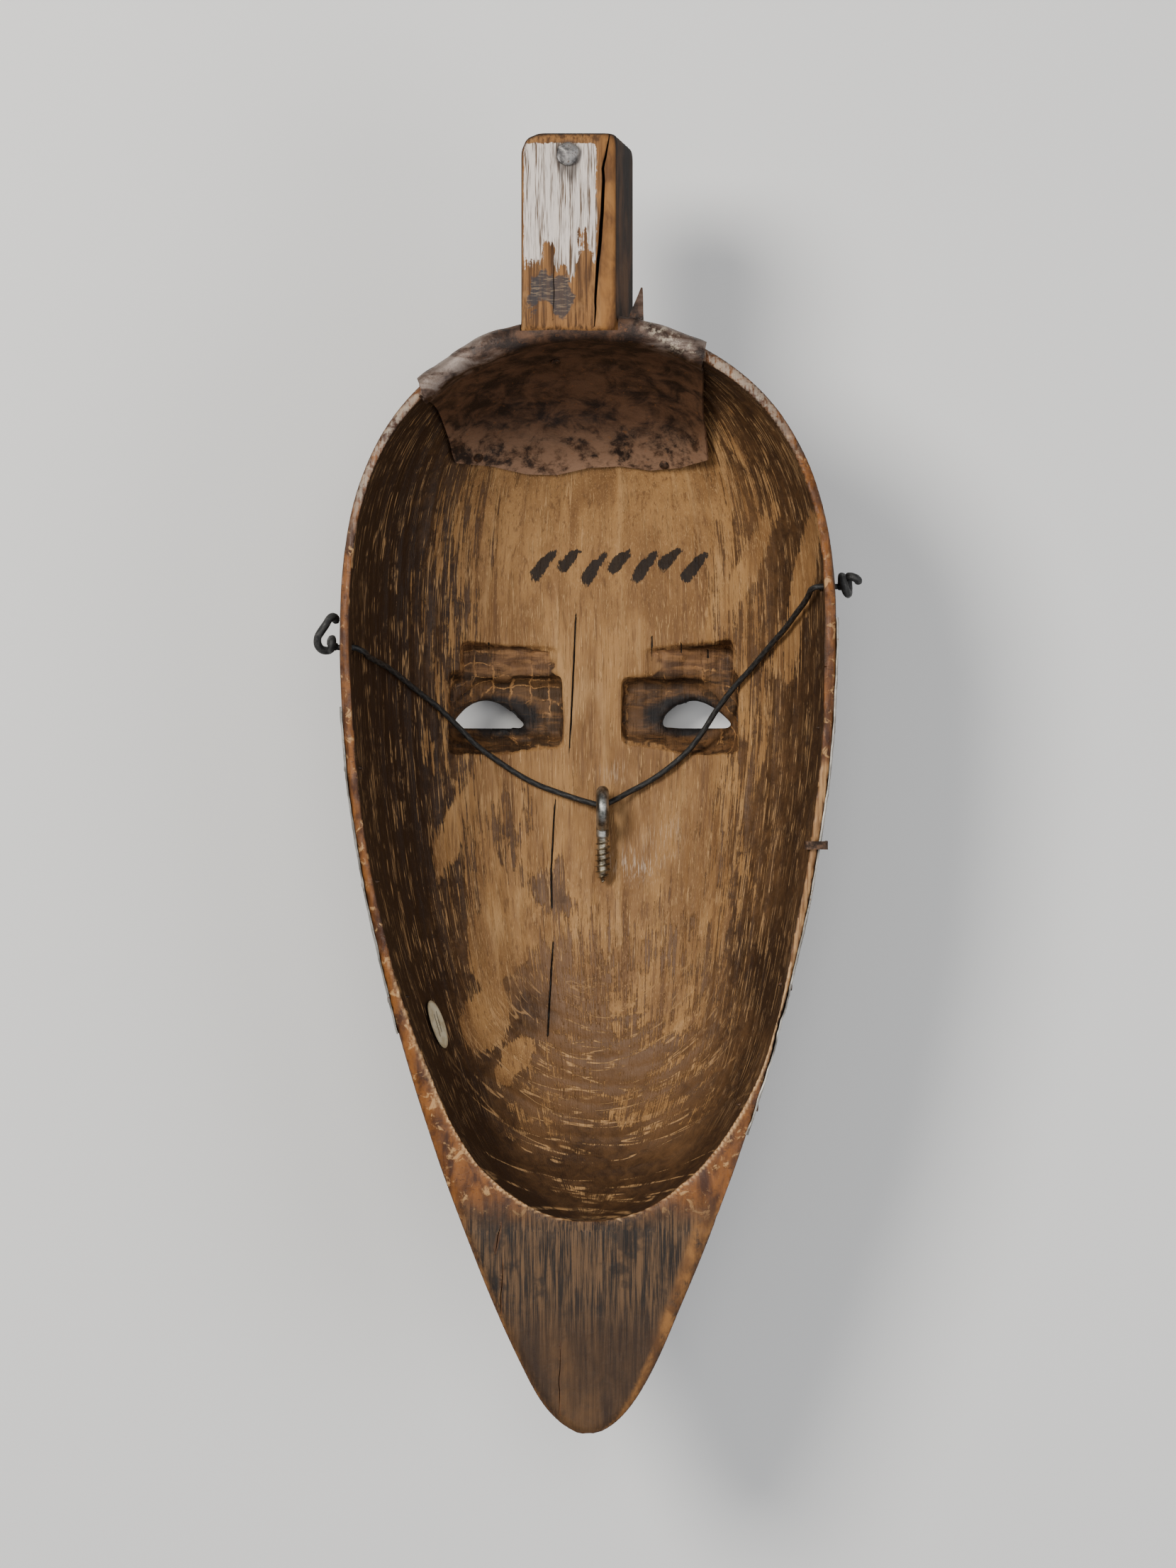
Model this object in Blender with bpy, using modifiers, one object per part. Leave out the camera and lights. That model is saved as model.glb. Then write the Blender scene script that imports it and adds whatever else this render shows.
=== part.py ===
"""African face mask of carved wood, lying on its face with the hollow back up.

Metres, +Z up, +Y towards the crest post, +X to the right of someone looking into the hollow.
The origin is on the floor below the middle of the mask.
"""

import math

import bmesh
import bpy
from mathutils import Vector

# Wooden shell: outline seen from behind
HALF_WIDTH = 0.0838
WIDEST_Y = 0.045
CROWN_Y = 0.1562
CHIN_Y = -0.2188
CROWN_POWER = 2.75
CHIN_TAPER = 0.855
CHIN_TAPER_POWER = 1.78
CHIN_TIP_POWER = 40.0

# Wooden shell: depth of the carved front below the rim plane
RIM_Z = 0.106
EDGE_BAND = 0.007
EDGE_ROUND = 0.0022
FRONT_DEPTH = 0.1075
FRONT_DEEPEST_Y = 0.072
FRONT_CROWN_POWER = 2.5
CHIN_THICKNESS = 0.024
FRONT_TAPER_POWER = 1.7
FRONT_SECTION_POWER = 2.15

# Hollow carved into the back
RIM_WALL = 0.0038
CROWN_WALL = 0.0054
HOLLOW_HALF_WIDTH = HALF_WIDTH - RIM_WALL
HOLLOW_TOP_Y = CROWN_Y - CROWN_WALL
HOLLOW_LIP_Y = -0.1470
HOLLOW_CROWN_POWER = 3.0
HOLLOW_TAPER = 0.505
HOLLOW_TAPER_POWER = 1.85
HOLLOW_LIP_POWER = 10.0
HOLLOW_DEPTH = 0.082
HOLLOW_DEEPEST_Y = 0.020
HOLLOW_END_POWER = 2.6
HOLLOW_SECTION_POWER = 2.5
HOLLOW_SHIFT = 0.0022
HOLLOW_SHIFT_Y = -0.095
HOLLOW_SHIFT_REACH = 0.035

# Eye recesses chopped from behind, and the slits that go through
EYE_MIDDLE_X = 0.0018
RECESS_INNER_X = 0.0105
RECESS_OUTER_X = 0.0510
RECESS_TOP_Y = 0.0520
RECESS_BOTTOM_Y = 0.0105
RECESS_STEP_Y = 0.0395
RECESS_STEP_IN = 0.0045
RECESS_STEP_DEPTH = 0.0060
RECESS_DRAFT = 0.0040
RECESS_FLOOR_IN = 0.0020
RECESS_FLOOR_RISE = 0.0090
SLIT_INNER_X = 0.0235
SLIT_OUTER_X = 0.0500
SLIT_BOTTOM_Y = 0.0198
SLIT_HEIGHT = 0.0100
SLIT_WALL = 0.0070

# Carved front: brow, nose, eyelids and mouth
BROW_REACH_X = 0.058
BROW_MIDDLE_Y = 0.034
BROW_ARCH = 0.014
BROW_WIDTH = 0.014
BROW_PROUD = 0.007
NOSE_ROOT_Y = 0.042
NOSE_TIP_Y = -0.044
NOSE_ROOT_WIDTH = 0.012
NOSE_TIP_WIDTH = 0.027
NOSE_RIDGE_WIDTH = 0.0065
NOSE_PROUD = 0.0010
MOUTH_Y = -0.090
MOUTH_WIDTH = 0.040
LIP_HEIGHT = 0.0085
LIP_PROUD = 0.009
LIP_PARTING = 0.0012
EYELID_LENGTH = 0.036
EYELID_HEIGHT = 0.018
EYELID_THICKNESS = 0.0044

# Crest post, carved in one with the shell
POST_LEFT_X = -0.0226
POST_RIGHT_X = 0.0093
POST_FRONT_LEFT_X = -0.0205
POST_FRONT_RIGHT_X = 0.0160
POST_TOP_Y = 0.2190
POST_FOOT_Y = 0.1532
POST_FRONT_FOOT_Y = 0.1430
POST_DEPTH = 0.039
POST_PROUD = 0.0015
POST_TOP_BEVEL = 0.0027
POST_SIDE_BEVEL = 0.0009
POST_LEFT_CORNER = 0.0060
POST_RIGHT_CORNER = 0.0022
SPLIT_TOP_X = 0.0070
SPLIT_FOOT_X = 0.0022
SPLIT_WIDTH = 0.0008
SPLIT_DEPTH = 0.012

# Overlaps of what is carved in one, and clearances between touching pieces
EMBED = 0.006
CUT_PAST = 0.006
FIT_GAP = 0.0004
SHEET_GAP = 0.0008

# Iron sheet folded over the crown into the hollow
SHEET_THICKNESS = 0.0007
SHEET_FOLD_LEFT_X = -0.0560
SHEET_FOLD_RIGHT_X = 0.0390
SHEET_FOOT_LEFT_X = -0.0473
SHEET_FOOT_RIGHT_X = 0.0440
SHEET_FOOT_Y = 0.1100
SHEET_FRONT_DROP = 0.048
SHEET_LIFT = 0.0035
TAB_NEAR_X = 0.0112
TAB_FAR_X = 0.0186
TAB_TIP_Y = 0.1670
TAB_DROP = 0.0050

# Thin metal facing on the cheeks
FACING_THICKNESS = 0.0006
FACING_RIM_DROP = 0.0012
FACING_REACH = 0.62
RIGHT_FACING_TOP_Y = 0.056
RIGHT_FACING_FOOT_Y = -0.118
LEFT_FACING_TOP_Y = 0.026
LEFT_FACING_FOOT_Y = -0.084

# Nails
CREST_NAIL_X = -0.0068
CREST_NAIL_Y = 0.2114
CREST_NAIL_HEAD = 0.0088
CREST_NAIL_THICKNESS = 0.0016
CREST_NAIL_SHANK = 0.0030
CREST_NAIL_LENGTH = 0.014
CHEEK_NAIL_HEAD = 0.0048
CHEEK_NAIL_THICKNESS = 0.0010
CHEEK_NAIL_SHANK = 0.0018
CHEEK_NAIL_DROP = 0.0120
CHEEK_NAIL_TIP = 0.0010
LEFT_NAIL_YS = (0.0054, -0.0330, -0.0720)
RIGHT_NAIL_YS = (0.0190, -0.0678, -0.1086)
SHEET_NAIL_HEAD = 0.0036
SHEET_NAIL_THICKNESS = 0.0007
SHEET_NAIL_SHANK = 0.0014
SHEET_NAIL_LENGTH = 0.0070
SHEET_NAIL_PLACES = ((-0.0390, 0.1146), (-0.0112, 0.1462), (0.0272, 0.1126))
BORE_CLEARANCE = 0.0005

# Clip over the right rim
CLIP_Y = -0.0206
CLIP_WIDTH = 0.0030
CLIP_THICKNESS = 0.0008
CLIP_LEG = 0.0050

# Cord, its holes and its knots
CORD_DIAMETER = 0.0020
CORD_SPACING = 0.0042
CORD_HOLE = 0.0042
CORD_HOLE_DROP = 0.0110
CORD_END_PROUD = 0.0008
LEFT_HOLE_Y = 0.0462
RIGHT_HOLE_Y = 0.0668
KNOT_LOBE = 0.00135
KNOT_HALF_LENGTH = 0.0028
KNOT_STRAND = 0.0018

# Paper label on the left wall
LABEL_Y = -0.0828
LABEL_TURN = -0.68
LABEL_LENGTH = 0.0162
LABEL_BREADTH = 0.0112
LABEL_THICKNESS = 0.0003

# Screw eye threaded on the cord
EYE_WIRE = 0.0044
EYE_OUTER = 0.0162
EYE_X = 0.0051
EYE_RING_Y = -0.0087
EYE_TIP_Y = -0.0350
EYE_COLLAR = 0.0012
THREAD_LENGTH = 0.0160
THREAD_OUTER = 0.0057
THREAD_CORE = 0.0038
THREAD_TURNS = 7


def share(value, start, end):
    """How far value lies from start to end, held between 0 and 1."""
    return min(max((value - start) / (end - start), 0.0), 1.0)


def half_width(y):
    if y >= WIDEST_Y:
        rise = share(y, WIDEST_Y, CROWN_Y)
        return HALF_WIDTH * math.sqrt(1 - rise**CROWN_POWER)
    fall = share(y, WIDEST_Y, CHIN_Y)
    taper = 1 - CHIN_TAPER * fall**CHIN_TAPER_POWER
    return HALF_WIDTH * taper * math.sqrt(1 - fall**CHIN_TIP_POWER)


def front_depth(y):
    if y >= FRONT_DEEPEST_Y:
        rise = share(y, FRONT_DEEPEST_Y, CROWN_Y)
        return EDGE_BAND + (FRONT_DEPTH - EDGE_BAND) * math.sqrt(1 - rise**FRONT_CROWN_POWER)
    fall = share(y, FRONT_DEEPEST_Y, CHIN_Y)
    return CHIN_THICKNESS + (FRONT_DEPTH - CHIN_THICKNESS) * (1 - fall**FRONT_TAPER_POWER)


def hollow_half_width(y):
    if y >= WIDEST_Y:
        rise = share(y, WIDEST_Y, HOLLOW_TOP_Y)
        return HOLLOW_HALF_WIDTH * math.sqrt(1 - rise**HOLLOW_CROWN_POWER)
    fall = share(y, WIDEST_Y, HOLLOW_LIP_Y)
    taper = 1 - HOLLOW_TAPER * fall**HOLLOW_TAPER_POWER
    return HOLLOW_HALF_WIDTH * taper * math.sqrt(1 - fall**HOLLOW_LIP_POWER)


def hollow_depth(y):
    end = HOLLOW_TOP_Y if y >= HOLLOW_DEEPEST_Y else HOLLOW_LIP_Y
    away = share(y, HOLLOW_DEEPEST_Y, end)
    return HOLLOW_DEPTH * math.sqrt(1 - away**HOLLOW_END_POWER)


def hollow_middle(y):
    """The hollow was carved a little off centre above the lip."""
    return HOLLOW_SHIFT * math.exp(-(((y - HOLLOW_SHIFT_Y) / HOLLOW_SHIFT_REACH) ** 2))


def arc(turn, power):
    """Across and down shares of a section; turn runs from -1 at the left edge to 1 at the right."""
    angle = turn * math.pi / 2
    across = math.copysign(abs(math.sin(angle)) ** (2 / power), angle)
    return across, max(math.cos(angle), 0.0)


def down_share(across, power):
    return math.sqrt(max(1 - min(abs(across), 1.0) ** power, 0.0))


def front_point(y, turn):
    across, down = arc(turn, FRONT_SECTION_POWER)
    z = RIM_Z - EDGE_BAND - (front_depth(y) - EDGE_BAND) * down
    return Vector((half_width(y) * across, y, z))


def front_z(x, y):
    down = down_share(x / max(half_width(y), 1e-6), FRONT_SECTION_POWER)
    return RIM_Z - EDGE_BAND - (front_depth(y) - EDGE_BAND) * down


def hollow_point(y, turn):
    across, down = arc(turn, HOLLOW_SECTION_POWER)
    x = hollow_middle(y) + hollow_half_width(y) * across
    return Vector((x, y, RIM_Z - hollow_depth(y) * down))


def hollow_z(x, y):
    across = (x - hollow_middle(y)) / max(hollow_half_width(y), 1e-6)
    return RIM_Z - hollow_depth(y) * down_share(across, HOLLOW_SECTION_POWER)


def hollow_normal(x, y):
    """Points out of the wood, into the hollow."""
    step = 0.0005
    slope_x = (hollow_z(x + step, y) - hollow_z(x - step, y)) / (2 * step)
    slope_y = (hollow_z(x, y + step) - hollow_z(x, y - step)) / (2 * step)
    return Vector((-slope_x, -slope_y, 1)).normalized()


def crown_edge_y(x, width_at, top_y):
    """Where an outline's upper half reaches x, found by halving."""
    low, high = WIDEST_Y, top_y
    for _ in range(40):
        middle = (low + high) / 2
        if width_at(middle) > abs(x):
            low = middle
        else:
            high = middle
    return low


def collection(name):
    made = bpy.data.collections.new(name)
    bpy.context.scene.collection.children.link(made)
    return made


def new_object(name, mesh, group, finish=None):
    made = bpy.data.objects.new(name, mesh)
    group.objects.link(made)
    if finish:
        mesh.materials.append(finish)
    if group is not PARTS:
        made.hide_render = True
        made.display_type = "WIRE"
    return made


def material(name, colour, roughness, metallic=0.0):
    made = bpy.data.materials.new(name)
    made.use_nodes = True
    shader = made.node_tree.nodes["Principled BSDF"]
    shader.inputs["Base Color"].default_value = (*colour, 1)
    shader.inputs["Roughness"].default_value = roughness
    shader.inputs["Metallic"].default_value = metallic
    made.diffuse_color = (*colour, 1)
    return made


def mesh_of(name, shape, smooth_angle=40):
    bmesh.ops.recalc_face_normals(shape, faces=shape.faces)
    mesh = bpy.data.meshes.new(name)
    shape.to_mesh(mesh)
    shape.free()
    mesh.shade_smooth()
    mesh.set_sharp_from_angle(angle=math.radians(smooth_angle))
    return mesh


def loft(name, sections, group, finish=None):
    """A closed solid through sections of equally many points, capped at both ends."""
    shape = bmesh.new()
    rings = [[shape.verts.new(point) for point in section] for section in sections]
    for near, far in zip(rings, rings[1:]):
        for i, corner in enumerate(near):
            j = (i + 1) % len(near)
            shape.faces.new((corner, near[j], far[j], far[i]))
    shape.faces.new(rings[0])
    shape.faces.new(rings[-1])
    return new_object(name, mesh_of(name, shape), group, finish)


def rod(name, start, end, diameter, sides, group, finish=None):
    start, end = Vector(start), Vector(end)
    shape = bmesh.new()
    bmesh.ops.create_cone(
        shape,
        cap_ends=True,
        segments=sides,
        radius1=diameter / 2,
        radius2=diameter / 2,
        depth=(end - start).length,
    )
    made = new_object(name, mesh_of(name, shape), group, finish)
    made.location = (start + end) / 2
    made.rotation_euler = (end - start).to_track_quat("Z", "Y").to_euler()
    return made


def turned(name, profile, steps, group, finish=None):
    """A profile of (radius, height) points, listed from the top down, spun round Z."""
    mesh = bpy.data.meshes.new(name)
    edges = [(i, i + 1) for i in range(len(profile) - 1)]
    mesh.from_pydata([(radius, 0, height) for radius, height in profile], edges, [])
    made = new_object(name, mesh, group, finish)
    spin = made.modifiers.new("turned", "SCREW")
    spin.steps = steps
    spin.render_steps = steps
    spin.use_merge_vertices = True
    spin.merge_threshold = 1e-5
    return made


def curve_tube(name, points, diameter, group, finish=None, cyclic=False, resolution=2):
    curve = bpy.data.curves.new(name, "CURVE")
    curve.dimensions = "3D"
    curve.bevel_depth = diameter / 2
    curve.bevel_resolution = resolution
    curve.use_fill_caps = not cyclic
    spline = curve.splines.new("POLY")
    spline.points.add(len(points) - 1)
    for place, point in zip(spline.points, points):
        place.co = (*point, 1)
    spline.use_cyclic_u = cyclic
    return new_object(name, curve, group, finish)


def as_mesh(curve_object, group):
    """The mesh of a curve, closed at its caps, in the curve's place."""
    graph = bpy.context.evaluated_depsgraph_get()
    mesh = bpy.data.meshes.new_from_object(curve_object.evaluated_get(graph))
    shape = bmesh.new()
    shape.from_mesh(mesh)
    bmesh.ops.remove_doubles(shape, verts=shape.verts, dist=1e-6)
    name = curve_object.name
    place = curve_object.matrix_world.copy()
    bpy.data.objects.remove(curve_object, do_unlink=True)
    made = new_object(name, mesh_of(name, shape), group)
    made.matrix_world = place
    return made


def boolean(target, operation, group=None, other=None):
    step = target.modifiers.new(operation.lower(), "BOOLEAN")
    step.operation = operation
    if group:
        step.operand_type = "COLLECTION"
        step.collection = group
    else:
        step.object = other


def sheet(name, rows, stand_off, thickness, away, finish):
    """A thin sheet over rows of points on the wood, on the side that the direction away points to.

    stand_off gives each point's distance from the wood."""
    shape = bmesh.new()
    grid = [[shape.verts.new(point) for point in row] for row in rows]
    for near, far in zip(grid, grid[1:]):
        for i in range(len(near) - 1):
            shape.faces.new((near[i], near[i + 1], far[i + 1], far[i]))
    shape.faces.ensure_lookup_table()
    shape.normal_update()
    if shape.faces[0].normal.dot(Vector(away)) < 0:
        bmesh.ops.reverse_faces(shape, faces=shape.faces)
        shape.normal_update()
    moves = [vertex.normal * stand_off(vertex.co) for vertex in shape.verts]
    for vertex, move in zip(shape.verts, moves):
        vertex.co += move
    mesh = bpy.data.meshes.new(name)
    shape.to_mesh(mesh)
    shape.free()
    mesh.shade_smooth()
    made = new_object(name, mesh, PARTS, finish)
    thick = made.modifiers.new("thickness", "SOLIDIFY")
    thick.thickness = thickness
    thick.offset = 1
    return made


for leftover in list(bpy.data.objects):
    bpy.data.objects.remove(leftover, do_unlink=True)

PARTS = collection("african mask")
CARVED_ON = collection("carved on the shell")
WOOD_CUTS = collection("cut from the wood")
SHEET_CUTS = collection("cut from the crown sheet")
FACING_CUTS = collection("cut from the cheek facings")

WOOD = material("worn wood", (0.26, 0.14, 0.06), 0.55)
RUSTED_IRON = material("rusted iron sheet", (0.09, 0.06, 0.045), 0.6, 0.5)
GREY_METAL = material("dull facing metal", (0.32, 0.31, 0.29), 0.42, 0.9)
IRON = material("forged iron", (0.2, 0.19, 0.19), 0.5, 0.8)
STEEL = material("plated steel", (0.55, 0.53, 0.48), 0.3, 1.0)
WAXED_CORD = material("waxed black cord", (0.015, 0.014, 0.014), 0.5)
PAPER = material("aged paper", (0.62, 0.57, 0.46), 0.8)


def shell_section(y, arc_steps=24):
    half = half_width(y)
    rounding = min(EDGE_ROUND, half * 0.6)
    below = [front_point(y, -1 + 2 * i / arc_steps) for i in range(arc_steps + 1)]
    corner = 0.3 * rounding
    right = [
        (half, y, RIM_Z - rounding),
        (half - corner, y, RIM_Z - corner),
        (half - rounding, y, RIM_Z),
    ]
    left = [(-x, y, z) for x, y, z in reversed(right)]
    return below + right + left


def hollow_section(y, arc_steps=24):
    below = [hollow_point(y, -1 + 2 * i / arc_steps) for i in range(arc_steps + 1)]
    right, left = below[-1].x, below[0].x
    return below + [(right, y, RIM_Z + CUT_PAST), (left, y, RIM_Z + CUT_PAST)]


def stations(middle, end, steps, last_angle=87.4):
    """Places along Y from the middle towards an end, closer together where the outline turns."""
    angles = [math.radians(last_angle) * (i + 1) / steps for i in range(steps)]
    return [middle + (end - middle) * math.sin(angle) for angle in angles]


def boat(name, section, top_y, foot_y, top_steps, foot_steps, group, finish=None):
    """A closed solid through flat sections from the chin end to the crown end."""
    ys = stations(WIDEST_Y, foot_y, foot_steps)[::-1]
    ys += [WIDEST_Y] + stations(WIDEST_Y, top_y, top_steps)
    return loft(name, [section(y) for y in ys], group, finish)


# Wooden shell with its hollow
mask_body = boat("mask_body", shell_section, CROWN_Y, CHIN_Y, 12, 22, PARTS, WOOD)
boat("hollow", hollow_section, HOLLOW_TOP_Y, HOLLOW_LIP_Y, 10, 16, WOOD_CUTS)


def post_outline(z, grow=0.0, top_in=0.0, side_in=0.0):
    """The crest post's outline at a height, with a worn left corner."""
    deep = share(z, RIM_Z + POST_PROUD, RIM_Z - POST_DEPTH)
    left = POST_LEFT_X + (POST_FRONT_LEFT_X - POST_LEFT_X) * deep - grow + side_in
    right = POST_RIGHT_X + (POST_FRONT_RIGHT_X - POST_RIGHT_X) * deep + grow - side_in
    top = POST_TOP_Y + grow - top_in
    foot = POST_FOOT_Y + (POST_FRONT_FOOT_Y - POST_FOOT_Y) * deep - grow
    corner_left, corner_right = POST_LEFT_CORNER, POST_RIGHT_CORNER
    points = [(left, foot), (right, foot), (right, top - corner_right)]
    points += [(right - corner_right * 0.3, top - corner_right * 0.3)]
    points += [(right - corner_right, top), (left + corner_left, top)]
    points += [(left + corner_left * 0.3, top - corner_left * 0.3), (left, top - corner_left)]
    return [(x, y, z) for x, y in points]


def post(name, group, grow=0.0):
    back, front = RIM_Z + POST_PROUD + grow, RIM_Z - POST_DEPTH - grow
    sections = [
        post_outline(back, grow, POST_TOP_BEVEL, POST_SIDE_BEVEL),
        post_outline(back - POST_SIDE_BEVEL, grow, POST_TOP_BEVEL * 0.5),
        post_outline(back - POST_TOP_BEVEL, grow),
        post_outline(front + POST_TOP_BEVEL, grow),
        post_outline(front, grow, POST_TOP_BEVEL, POST_SIDE_BEVEL),
    ]
    return loft(name, sections, group)


# Crest post, with the long split down its back
post("post", CARVED_ON)


def split_section(y):
    x = SPLIT_FOOT_X + (SPLIT_TOP_X - SPLIT_FOOT_X) * share(y, POST_FOOT_Y, POST_TOP_Y)
    back = RIM_Z + POST_PROUD + SPLIT_WIDTH
    half = SPLIT_WIDTH / 2
    return [(x - half, y, back), (x + half, y, back), (x, y, back - SPLIT_DEPTH)]


split_ys = (POST_FOOT_Y + EDGE_ROUND, POST_TOP_Y - POST_DEPTH, POST_TOP_Y + EDGE_ROUND)
loft("split", [split_section(y) for y in split_ys], WOOD_CUTS)

# Brow: two arches that meet over the nose
def brow_section(x):
    along = abs(x) / BROW_REACH_X
    y = BROW_MIDDLE_Y + BROW_ARCH * math.sin(math.pi * along)
    fade = math.cos(math.pi / 2 * along**3)
    proud, half = BROW_PROUD * fade, BROW_WIDTH / 2
    profile = ((-1, -EMBED), (-0.8, proud * 0.55), (-0.4, proud), (0.4, proud), (1, -EMBED))
    return [(x, y + half * across, front_z(x, y) - out) for across, out in profile]


brow_xs = [BROW_REACH_X * i / 10 for i in range(-10, 11)]
loft("brow", [brow_section(x) for x in brow_xs], CARVED_ON)


# Nose: a long straight ridge, widest at the tip
def nose_section(y, ridge_z, pinch=1.0):
    along = share(y, NOSE_ROOT_Y, NOSE_TIP_Y)
    half = (NOSE_ROOT_WIDTH + (NOSE_TIP_WIDTH - NOSE_ROOT_WIDTH) * along**2) / 2 * pinch
    ridge = NOSE_RIDGE_WIDTH / 2 * pinch
    base = front_z(0, y)
    side = base + (ridge_z - base) * 0.35
    profile = ((-half, base + EMBED), (-half, side), (-ridge, ridge_z))
    return [(x, y, z) for x, z in profile] + [(-x, y, z) for x, z in reversed(profile)]


nose_ys = [NOSE_ROOT_Y + (NOSE_TIP_Y - NOSE_ROOT_Y) * i / 6 for i in range(7)]
nose_sections = [nose_section(y, min(front_z(0, y) - NOSE_PROUD, 0.0)) for y in nose_ys]
nose_sections[0] = nose_section(NOSE_ROOT_Y, front_z(0, NOSE_ROOT_Y) + EMBED / 2)
nose_sections.append(nose_section(NOSE_TIP_Y - EDGE_ROUND, NOSE_RIDGE_WIDTH, 0.85))
loft("nose", nose_sections, CARVED_ON)


# Mouth: two lips, each a flattened egg half sunk in the wood
def egg(name, middle, radii, group):
    shape = bmesh.new()
    bmesh.ops.create_uvsphere(shape, u_segments=16, v_segments=8, radius=1)
    bmesh.ops.scale(shape, vec=radii, verts=shape.verts)
    bmesh.ops.translate(shape, vec=middle, verts=shape.verts)
    return new_object(name, mesh_of(name, shape), group)


for word, side in (("upper", 1), ("lower", -1)):
    lip_y = MOUTH_Y + side * (LIP_HEIGHT + LIP_PARTING) / 2
    radii = (MOUTH_WIDTH / 2, LIP_HEIGHT / 2, LIP_PROUD + EMBED / 2)
    egg(f"{word}_lip", (0, lip_y, front_z(0, lip_y) + EMBED / 2), radii, CARVED_ON)


# Eyes: a raised lid round each slit, the slit, and the stepped recess behind it
def slit_outline(side, grow=0.0, points=9):
    """Flat below and arched above, the peak nearer the nose on the left and the ear on the right."""
    inner, outer = EYE_MIDDLE_X + side * SLIT_INNER_X, EYE_MIDDLE_X + side * SLIT_OUTER_X
    left, right = min(inner, outer) - grow, max(inner, outer) + grow
    outline = [(left, SLIT_BOTTOM_Y - grow), (right, SLIT_BOTTOM_Y - grow)]
    for i in range(points):
        along = 1 - (i + 0.5) / points
        rise = math.sin(math.pi * along**0.85) ** 0.8
        outline.append((left + (right - left) * along, SLIT_BOTTOM_Y + rise * SLIT_HEIGHT + grow))
    return outline


def box_section(x_low, x_high, y_low, y_high, z):
    return [(x_low, y_low, z), (x_high, y_low, z), (x_high, y_high, z), (x_low, y_high, z)]


def recess_floor(x, flat_z):
    """Flat towards the nose, and rising with the front so that the slit's wall stays as thick."""
    return max(flat_z, front_z(x, SLIT_BOTTOM_Y) + SLIT_WALL)


def recess_section(x, flat_z, back_z):
    floor_z = recess_floor(x, flat_z)
    draft_z = floor_z + RECESS_FLOOR_RISE
    profile = (
        (SLIT_BOTTOM_Y - RECESS_FLOOR_IN, floor_z),
        (RECESS_STEP_Y - RECESS_DRAFT, floor_z),
        (RECESS_STEP_Y, draft_z),
        (RECESS_STEP_Y, back_z),
        (RECESS_BOTTOM_Y, back_z),
        (RECESS_BOTTOM_Y, draft_z),
    )
    return [(x, y, z) for y, z in profile]


for word, side in (("left", -1), ("right", 1)):
    middle_x = EYE_MIDDLE_X + side * (SLIT_INNER_X + SLIT_OUTER_X) / 2
    middle_y = SLIT_BOTTOM_Y + SLIT_HEIGHT / 2
    lid = []
    for i in range(18):
        angle = 2 * math.pi * i / 18
        x = middle_x + EYELID_LENGTH / 2 * math.cos(angle)
        y = middle_y + EYELID_HEIGHT / 2 * math.sin(angle)
        lid.append((x, y, front_z(x, y)))
    lid_curve = curve_tube(f"{word}_lid", lid, EYELID_THICKNESS, CARVED_ON, None, True, 1)
    as_mesh(lid_curve, CARVED_ON)

    front = front_z(middle_x, middle_y)
    floor_z = front + SLIT_WALL
    outline = slit_outline(side)
    inner_x, outer_x = EYE_MIDDLE_X + side * RECESS_INNER_X, EYE_MIDDLE_X + side * RECESS_OUTER_X
    levels = (front - EYELID_THICKNESS * 2, recess_floor(outer_x, floor_z) + EMBED)
    loft(f"{word}_slit", [[(x, y, z) for x, y in outline] for z in levels], WOOD_CUTS)

    xs = sorted((inner_x, outer_x))
    back = hollow_z(middle_x, RECESS_TOP_Y) + EMBED * 2
    recess_xs = [inner_x] + [middle_x + (outer_x - middle_x) * i / 4 for i in range(5)]
    loft(f"{word}_recess", [recess_section(x, floor_z, back) for x in recess_xs], WOOD_CUTS)
    step_low = floor_z + RECESS_STEP_DEPTH
    near = (xs[0] + RECESS_STEP_IN, xs[1] - RECESS_STEP_IN / 3)
    shelf_foot = RECESS_STEP_Y - 2 * RECESS_DRAFT
    shelf = box_section(*near, shelf_foot, RECESS_TOP_Y - RECESS_DRAFT, step_low)
    shelf_mouth = box_section(*near, shelf_foot, RECESS_TOP_Y, back)
    loft(f"{word}_shelf", [shelf, shelf_mouth], WOOD_CUTS)

# Flats where the mask rests on its face
loft(
    "resting_flats",
    [box_section(-HALF_WIDTH, HALF_WIDTH, CHIN_Y, CROWN_Y, z) for z in (-FRONT_DEPTH, 0.0)],
    WOOD_CUTS,
)

# Holes for the cord, bored straight through both walls
HOLE_Z = RIM_Z - CORD_HOLE_DROP
HOLE_REACH = 3 * CUT_PAST
for word, side, y in (("left", -1, LEFT_HOLE_Y), ("right", 1, RIGHT_HOLE_Y)):
    wall = side * half_width(y)
    ends = (wall - HOLE_REACH, y, HOLE_Z), (wall + HOLE_REACH, y, HOLE_Z)
    rod(f"{word}_cord_hole", *ends, CORD_HOLE, 10, WOOD_CUTS)


# Crown sheet: one sheet from the forehead, over the rim on both sides of the post, into the hollow
def front_y_at_depth(x, depth):
    """The Y where the crown's outer surface lies this far below the rim plane."""
    low, high = FRONT_DEEPEST_Y, crown_edge_y(x, half_width, CROWN_Y)
    for _ in range(40):
        middle = (low + high) / 2
        if RIM_Z - front_z(x, middle) > depth:
            low = middle
        else:
            high = middle
    return low


def between(start, end, along):
    return start + (end - start) * along


def sheet_x(along, down):
    left = between(SHEET_FOLD_LEFT_X, SHEET_FOOT_LEFT_X, down)
    return between(left, between(SHEET_FOLD_RIGHT_X, SHEET_FOOT_RIGHT_X, down), along)


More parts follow.
